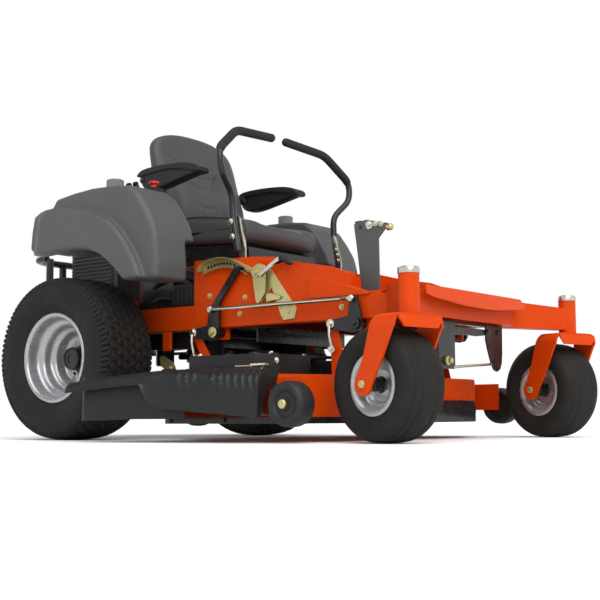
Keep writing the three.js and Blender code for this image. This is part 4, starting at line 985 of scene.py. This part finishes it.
deck_line = bent([(x, y, 0) for x, y in DECK_EDGE], 26, 8)[:, :2]
piece("deck_skirt", [edge_band(deck_line[3:-3], 2.6, 58, 78)], "deck", "black_paint")


def front_baffle():
    """A panel across the deck's front that bows forward by half a sine over its height."""
    rise = np.linspace(0, 1, 16)[None]
    across = np.linspace(-318, 318, 40)[:, None]
    return np.stack([1174 + 7 * np.sin(rise * math.pi) + 0 * across, across + 0 * rise,
                     62 + 70 * rise + 0 * across], -1)


piece("deck_front_baffle", [shell(front_baffle(), 3.5, -1)], "deck", "black_paint")
piece("deck_edge_bolts", [surface for _, side in SIDES for x in (566, 800)
                          for surface in hex_heads([(x, side * 613, 70)], 12, 6, flip=side)],
      "deck", "black_paint")
COVER_BOLTS = ((620, 530), (900, 500), (620, 250), (880, 300))
piece("cover_bolts", hex_heads([(x, s * y, 281) for s in (1, -1) for x, y in COVER_BOLTS]
                               + [(1010, 110, 271), (1010, -110, 271)], 12, 6, "z"),
      "deck", "bright_zinc")
piece("spindle_grease_caps", [turned([(0, 0), (34, 0), (32, 8), (20, 11), (19, 16), (0, 17)], 48,
                                     "z", place)
                              for place in ((742, 392, 280), (742, -392, 280), (900, 0, 270))],
      "deck", "black_plastic")


# ------------------------------------------------------------------ rails and their fastenings

SIDE_BOLTS = [(473, 510), (637, 494), (614, 437), (832, 432), (1051, 434)]
RAIL_OUTSIDE = 320.0
CHEEK_CREASE = bent([(700, 0, 486), (912, 0, 551), (1037, 0, 515), (1164, 0, 478)], 18, 8)


def cheek(side):
    """A band that leans out from the side plate's crease, then drops to a level edge."""
    x, _, z = CHEEK_CREASE.T
    rows = ((RAIL_OUTSIDE, z), (RAIL_OUTSIDE + 6, z - 3), (RAIL_OUTSIDE + 6, 470 + 0 * z))
    return np.stack([np.stack([x, side * y + 0 * x, height], -1) for y, height in rows], 1)[6:]


for name, side in SIDES:
    piece(f"side_plate_bolts_{name}",
          hex_heads([(x, side * 320.2, z) for x, z in SIDE_BOLTS], 12, 6, flip=side),
          "root", "yellow_zinc")
    piece(f"outer_rail_cheek_{name}", [shell(cheek(side), 3.0, side)], "root", "orange_paint")
    piece(f"foot_floor_edge_{name}", [rod([(720, side * 309, 489), (1010, side * 309, 489)], 3.5,
                                          (0, 0, 1), 10)], "root", "orange_paint")


# ------------------------------------------------------------------ height quadrant and handle

def plate_xz(corners, y, thick, edge=0.8, count=140):
    """A flat plate from an (x, z) outline, its edge broken by a small chamfer."""
    t = math.copysign(1, thick)
    return swept_outline(even_outline(np.asarray(corners, float), count), [
        (y, edge), (y + t * edge, 0), (y + thick - t * edge, 0), (y + thick, edge)])


def folded_flange(line, count, places):
    """A curved strip standing out from the side plate: one line repeated at each y."""
    x, z = curve_through(line, count).T
    return np.stack([np.stack([x, np.full(count, y), z], -1) for y in places], 1)


UPPER_ARC = [(436, 596), (446, 618), (478, 632), (520, 638), (560, 636), (602, 624), (640, 606),
             (676, 582)]
LOWER_ARC = [(452, 586), (500, 600), (560, 604), (616, 592), (660, 570)]
piece("quadrant_flanges", [
    shell(folded_flange(UPPER_ARC, 60, (-321.0, -334.0, -347.0)), 3.0),
    shell(folded_flange(LOWER_ARC, 50, (-324.0, -330.0, -336.0)), 2.4)], "root", "yellow_zinc")
# Thin black discs on the quadrant: painted shade that stands for the dark inside of each notch
# hole.
piece("quadrant_notch_painted_shade", [turned([(0, -1), (4.4, -1), (4.4, 1), (0, 1)], 18, "y", (x, -325.4, z))
                           for x, z in curve_through([(470, 612), (520, 620), (570, 617),
                                                      (630, 596)], 11)],
      "root", "black_paint")
piece("height_stop_bracket", [
    plate_xz([(684, 590), (716, 604), (740, 596), (744, 560), (742, 500), (712, 466), (704, 474),
              (694, 530), (690, 566)], -338, -3),
    plate_xz([(742, 470), (800, 476), (806, 486), (760, 500), (742, 500)], -330, -3),
    turned([(0, 0), (15, 0), (15, 6), (10, 7), (10, 15), (0, 15)], 32, "y", (706, -341, 572),
           flip=-1)], "root", "yellow_zinc")
handle_bar = np.array([(716, 566), (728, 556), (812, 604), (838, 600), (838, 614), (806, 620)],
                      float)
piece("height_handle", [plate_xz(handle_bar, -344, -5, 1.2)], "root", "bright_zinc")
grip_line = np.array([(812, -346.5, 612), (830, -346.5, 610), (868, -346.5, 590)], float)
piece("height_handle_grip", [rod(curve_through(grip_line, 18),
                                 [2, 8, 10.5] + [11] * 12 + [10, 8, 3], (0, 1, 0), 20)],
      "root", "black_rubber")
ROD_Y, ROD_Z = 351, 457
ROD_EYE = [(0, -6), (9, -6), (11.5, -3), (11.5, 3), (9, 6), (0, 6)]
SHAFT_BOSS = [(0, 0), (19, 0), (19, 3), (16, 4), (0, 4)]
LINK_EYE = [(6, -5), (12, -5), (13, 0), (12, 5), (6, 5)]
SHAFTS = (("rear", 513, "yellow_zinc"), ("front", 1121, "black_paint"))
for name, side in SIDES:
    rod_y = side * ROD_Y
    bar = piece(f"lift_rod_bar_{name}", [
        rod([(505, rod_y, ROD_Z), (1105, rod_y, ROD_Z)], 6.6, (0, 0, 1), 18),
        turned(ROD_EYE, 32, "y", (501, rod_y, ROD_Z)),
        turned(ROD_EYE, 32, "y", (1109, rod_y, ROD_Z)),
        turned([(0, 0), (8, 0), (8, 26), (0, 26)], 6, "x", (1070, rod_y, ROD_Z))],
        f"lift_link_{name}", "bright_zinc")
    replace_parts(bar, f"lift_rod_{name}")
    for end, x, slot in SHAFTS:
        body = f"{end}_lift"
        piece(f"{end}_crank_bolt_{name}",
              [turned(SHAFT_BOSS, 40, "y", (x, side * 350, 376), flip=side)]
              + hex_heads([(x, side * 353, 376)], 17, 7, flip=side, washer=False), body, slot)
        piece(f"{end}_link_pin_{name}", hex_heads([(x - 100, side * 343.2, 380)], 18, 7, flip=side),
              body, "bright_zinc")
        hanging = bent([(x - 100, side * 349, 372), (x - 98, side * 352, 340),
                        (x - 92, side * 346, 300)], 10, 6)
        foot = (x - 92, side * 346, 296)
        piece(f"{end}_deck_link_{name}", [
            rod(hanging, 5.5, (1, 0, 0.2), 14), turned(LINK_EYE, 28, "y", foot, ring=True),
            turned([(0, -9), (6, -9), (6, 12), (0, 12)], 6, "y", foot)], "deck", "bright_zinc")


# ------------------------------------------------------------------ pedal, nose and hanger

PEDAL_FACE_Y = -253.2
PEDAL_EDGE = [(1060, 717), (1102, 727), (1186, 707), (1184, 703), (1102, 722.5), (1061, 712.5)]
BUMPER = [(0, -2), (9, -2), (11.5, 2), (11.5, 16), (8, 20), (0, 20)]
HANGER_FACE_X = 1306.2
HANGER_BOLTS = [(190, 370), (262, 370), (234, 262), (-120, 372)]
HANGER_PIVOT = [(0, 0), (13, 0), (15, 3), (15, 9), (9, 12), (9, 22), (0, 23)]

piece("pedal_flange", [plate_xz(PEDAL_EDGE, -246.8, 22, 0.6)], "front_lift", "grey_paint",
      GREY_PAINT)
piece("pedal_peg", [rod([(1052, -222, 727), (1070, -222, 725)], 5, (0, 0, 1), 14),
                    rod([(1060, -247, 722), (1060, -216, 726)], 4, (0, 0, 1), 14)],
      "front_lift", "black_paint")
piece("pedal_bumper", [turned(BUMPER, 32, "x", (1182, -244, 694))], "front_lift", "yellow_zinc")
piece("pedal_bolts", hex_heads([(1117, PEDAL_FACE_Y, 708)], 17, 8, flip=-1)
      + hex_heads([(1142, PEDAL_FACE_Y, 709), (1164, PEDAL_FACE_Y, 706)], 11, 5, flip=-1),
      "front_lift", "bright_zinc")
# A thin black disc on the pedal face: painted shade that stands for the dark inside of a hole.
piece("pedal_hole_painted_shade", [turned([(0, -0.6), (6, -0.6), (6, 0.6), (0, 0.6)], 24, "y",
                             (1082, PEDAL_FACE_Y - 0.2, 703))], "front_lift", "black_paint")
piece("hanger_bolt", [turned(HANGER_PIVOT, 32, "x", (1306.5, -93, 259)),
                      turned([(0, 0), (10, 0), (10, 20), (0, 20)], 20, "x", (1280, -93, 259))],
      "root", "yellow_zinc")
piece("hanger_cross_rod", [rod([(1303, -45, 239), (1303, 60, 247), (1303, 230, 258)], 4.5,
                               (1, 0, 0), 12)], "root", "bright_zinc")
piece("hanger_plate_bolts", hex_heads([(HANGER_FACE_X, y, z) for y, z in HANGER_BOLTS], 12, 6,
                                      "x"), "root", "black_paint")


# ------------------------------------------------------------------ caster forks

def fork_skin():
    """A strap bent over the wheel: its run goes up one leg, round a bend, over the crown and
    down the other leg. Across the strap it reaches from the rear outline to the front one, and
    each leg ends in a half circle about the axle."""
    z_low, z_top, half, bend = 137.6, 366.0, 95.5, 26.0
    leg = z_low + (z_top - bend - z_low) * (1 - np.cos(np.linspace(0, math.pi, 60))) / 2
    turn = np.linspace(0, math.pi / 2, 12)[1:-1]
    side_y = np.concatenate([np.full(60, half), half - bend * (1 - np.cos(turn)),
                             np.linspace(half - bend, 0, 12)])
    side_z = np.concatenate([leg, z_top - bend + bend * np.sin(turn), np.full(12, z_top)])
    y = np.concatenate([-side_y, side_y[-2::-1]])
    z = np.concatenate([side_z, side_z[-2::-1]])
    axle_x, _, axle_z = CASTER_AXLE
    round_half = np.sqrt(np.maximum(0, 34.0 ** 2 - (z - axle_z) ** 2))
    rear = np.where(z < 176, axle_x - round_half, np.interp(
        z, [176, 186, 256, 340, 366], [-123.7, -120, -86, -60, -48]))
    front = np.where(z < 165, axle_x + round_half, np.interp(
        z, [165, 253, 322, 338, 366], [-56.6, -6, 28, 38, 40]))
    across = np.linspace(0, 1, 16)[None]
    x = rear[:, None] + (front - rear)[:, None] * across
    return np.stack([x, y[:, None] + 0 * x, z[:, None] + 0 * x], -1)


def fork_lip():
    """A flange turned down from the crown's front edge, its lower corners rounded."""
    y = np.linspace(-88, 88, 60)[:, None]
    drop = np.linspace(0, 1, 14)[None]
    depth = 34 - 20 * step(np.abs(y), 66, 88)
    z = 366 - depth * drop
    x = 40 + 4 * np.sin(drop * math.pi / 2) + 0 * y
    return np.stack([x, y + 0 * x, z], -1)


for name, _ in SIDES:
    fork = piece(f"bent_fork_{name}", swivelled([
        shell(fork_skin(), 8.0), shell(fork_lip(), 6.0),
        turned([(0, 352), (24, 352), (24, 373.6), (0, 373.6)], 48, "z")], name),
        f"caster_{name}", "orange_paint", crease=45)
    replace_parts(fork, f"caster_fork_{name}")


# ------------------------------------------------------------------ hanger plates under the nose

def plate_yz(corners, x, thick, edge=0.8, count=140):
    """A flat plate from a (y, z) outline, its edge broken by a small chamfer."""
    outline = even_outline(np.asarray(corners, float), count)
    loops = [np.stack([np.full(count, x + along), *drawn_in(outline, inset).T], -1)
             for along, inset in ((0, edge), (edge, 0), (thick - edge, 0), (thick, edge))]
    return lofted(loops)


# (y, z) outlines of the hanger, the back of each plate and its thickness
HANGER_PLATES = [
    ([(-35, 393), (-35, 238), (-39, 234), (-134, 234), (-138, 238), (-138, 393)], 1300, 6),
    ([(182, 393), (182, 340), (192, 313), (216, 262), (236, 238), (258, 232), (280, 241),
      (293, 262), (298, 300), (300, 393)], 1300, 6),
    ([(-36, 376), (-36, 348), (60, 352), (120, 350), (186, 356), (186, 376)], 1292, 10),
    ([(-138, 393), (-138, 384), (296, 384), (296, 393)], 1290, 14)]
hanger = piece("nose_hanger_plates", [plate_yz(*plate) for plate in HANGER_PLATES], "root",
               "black_paint")
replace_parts(hanger, "front_hanger")


# ------------------------------------------------------------------ drive gear under the frame

def slab(x0, x1, y0, y1, z0, z1, corner=6.0, edge=1.5):
    """A plate or box: a quarter circle at each corner in side view, and broken edges."""
    t = np.linspace(0, math.pi / 2, 6)
    quarter = np.stack([np.cos(t), np.sin(t)], -1)
    outline = []
    for cx, cz, turn in ((x1, z1, 0), (x0, z1, 1), (x0, z0, 2), (x1, z0, 3)):
        a = turn * math.pi / 2
        spin = quarter @ np.array([[math.cos(a), math.sin(a)], [-math.sin(a), math.cos(a)]])
        centre = np.array([cx - corner * (1 if turn in (0, 3) else -1),
                           cz - corner * (1 if turn in (0, 1) else -1)])
        outline.append(centre + corner * spin)
    return swept_outline(np.concatenate(outline), [(y0, edge), (y0 + edge, 0), (y1 - edge, 0),
                                                   (y1, edge)])


PUMP = [(0, 262), (38, 262), (40, 270), (40, 282), (56, 286), (58, 296), (58, 330), (54, 334),
        (54, 342), (58, 345), (58, 356), (46, 362), (46, 386), (0, 388)]
FILTER = [(0, 272), (30, 272), (34, 276), (35, 284), (35, 352), (37, 355), (37, 364), (24, 368),
          (24, 386), (0, 387)]
PUMP_X, PUMP_Y = 250, 120
FILTER_X, FILTER_Y = 140, 205
FINS_TOP = 735
FIN_STEP = 15


def slab_pair(x0, x1, y, half, z0, z1, corner=6.0, edge=1.5):
    """The same slab left and right, each reaching half its thickness either side of y."""
    return [slab(x0, x1, s * y - half, s * y + half, z0, z1, corner, edge) for s in (1, -1)]


def belt_line():
    """The belt's closed loop round the engine pulley, both pumps and the idlers between."""
    half = [(-255, 62), (0, 100), (250, 182), (312, 120), (280, 20)]
    places = half + [(x, -y) for x, y in half[::-1]] + [(-318, 0)]
    loop = closed_curve([(x, y, 340) for x, y in places], 200)
    return np.vstack([loop, loop[:1]])


gear = [turned(PUMP, 56, "z", (PUMP_X, s * PUMP_Y, 0)) for s in (1, -1)]
gear += [turned(FILTER, 48, "z", (FILTER_X, s * FILTER_Y, 0)) for s in (1, -1)]
gear += slab_pair(PUMP_X - 60, PUMP_X + 60, PUMP_Y, 66, 296, 318, 10)
gear += [slab(92, 700, -266, 266, 387.5, 392.5, 2, 1)]
gear += [slab(x, x + 8, -262, 262, 340, 392, 2, 1) for x in (330, 640)]
gear += slab_pair(60, 400, 263, 3, 330, 392, 2, 1)
piece("pumps_and_filters", gear, "root", "black_paint")
piece("drive_belt", [rod(belt_line(), 6.5, (0, 0, 1), 8)], "root", "black_rubber")
HOSES = [
    [(96, -214, 470), (130, -268, 500), (220, -292, 520), (310, -286, 500), (372, -270, 470)],
    [(90, -200, 520), (150, -280, 560), (250, -298, 590), (350, -285, 560), (384, -262, 500)],
    [(80, -180, 600), (160, -270, 620), (260, -290, 640), (372, -280, 600)],
    [(120, 214, 470), (220, 292, 520), (310, 286, 500), (372, 270, 470)],
    [(90, 200, 520), (150, 280, 560), (250, 298, 590), (350, 285, 560), (384, 262, 500)]]
piece("drive_hoses", [rod(curve_through(path, 60), 9, (0, 0, 1), 14) for path in HOSES],
      "root", "black_rubber")
piece("side_screens", slab_pair(70, 390, 268, 2, 484, 622, 8, 1), "root", "black_plastic")
piece("battery_case", slab_pair(268, 388, 286, 14, 484, 566, 8, 3)
      + [slab(x, x + 8, s * 301 - 2.5, s * 301 + 2.5, 492, 556, 3, 1)
         for s in (1, -1) for x in range(272, 382, 22)], "root", "black_plastic")
piece("shock_brackets", slab_pair(236, 276, 312, 6, 322, 393, 6, 1.5), "root", "orange_paint")
TAB = [(206, 296), (214, 268), (262, 236), (282, 240), (290, 258), (280, 276), (232, 304),
       (214, 306)]
piece("belt_guide_tabs", [plate_xz(TAB, s * 300, s * 3, 0.6) for s in (1, -1)]
      + [surface for s in (-1, 1)
         for surface in hex_heads([(262, s * 303.5, 258)], 12, 5, flip=s)],
      "root", "yellow_zinc")
IDLER = [(0, 271), (20, 271), (20, 276), (58, 277), (60, 279), (54, 283), (54, 290), (60, 294),
         (58, 296), (24, 297), (22, 300), (0, 300)]
IDLER_PLACES = ((800, 130, 0), (790, -150, 0), (950, 60, 0))
piece("deck_idlers", [turned(IDLER, 56, "z", place) for place in IDLER_PLACES], "deck",
      "engine_metal")
piece("deck_belt", [rod([(742, s * 340, 262), (800, s * 150, 288), (900, 0, 280)], 6,
                        (0, 0, 1), 8) for s in (1, -1)], "deck", "black_rubber")


# ------------------------------------------------------------------ engine dress and rear guards

def screen_profile():
    """A disc whose top carries eleven ring grooves, one every 10 mm, and a turned down rim."""
    grooves = [(ring + out, z) for ring in range(0, 110, 10)
               for out, z in ((9, 858), (11, 854), (15, 854), (17, 858))]
    return [(0, 858)] + grooves + [(124, 857), (126, 852), (126, 849), (0, 849)]


STRAP_RING = [(0, -9), (53.4, -9), (53.4, 9), (0, 9)]
piece("cooling_screen", [turned(screen_profile(), 72, "z", (-255, 0, 0))], "root",
      "black_plastic")
piece("engine_cooling_fins", [slab(-384, -146, s * 213 - 5, s * 213 + 5, z, z + 7, 3, 1)
                              for s in (1, -1) for z in range(566, FINS_TOP, FIN_STEP)]
      + [slab(-396, -388, -176, 176, z, z + 7, 3, 1) for z in range(640, FINS_TOP, FIN_STEP)],
      "root", "engine_metal")
piece("muffler_straps", [turned(STRAP_RING, 48, "y", (-448, y, 560)) for y in (-105, 105)],
      "root", "muffler_steel")
piece("belt_guards", slab_pair(322, 474, 250, 2, 250, 388, 10, 1), "root", "black_plastic")


# ------------------------------------------------------------------ floor and the end

FLOOR_REACH, FLOOR_POINTS = 30000, 41
run = np.linspace(-FLOOR_REACH, FLOOR_REACH, FLOOR_POINTS)
ground = in_frame(np.stack(np.broadcast_arrays(run[:, None], run[None, :], 0.0), -1))
floor_mesh = bpy.data.meshes.new("floor")
floor_mesh.from_pydata(ground.reshape(-1, 3).tolist(), [],
                       net(FLOOR_POINTS, FLOOR_POINTS, False, False).tolist())
floor_mesh.materials.append(FLOOR)
floor = bpy.data.objects.new("floor", floor_mesh)
bpy.context.scene.collection.objects.link(floor)
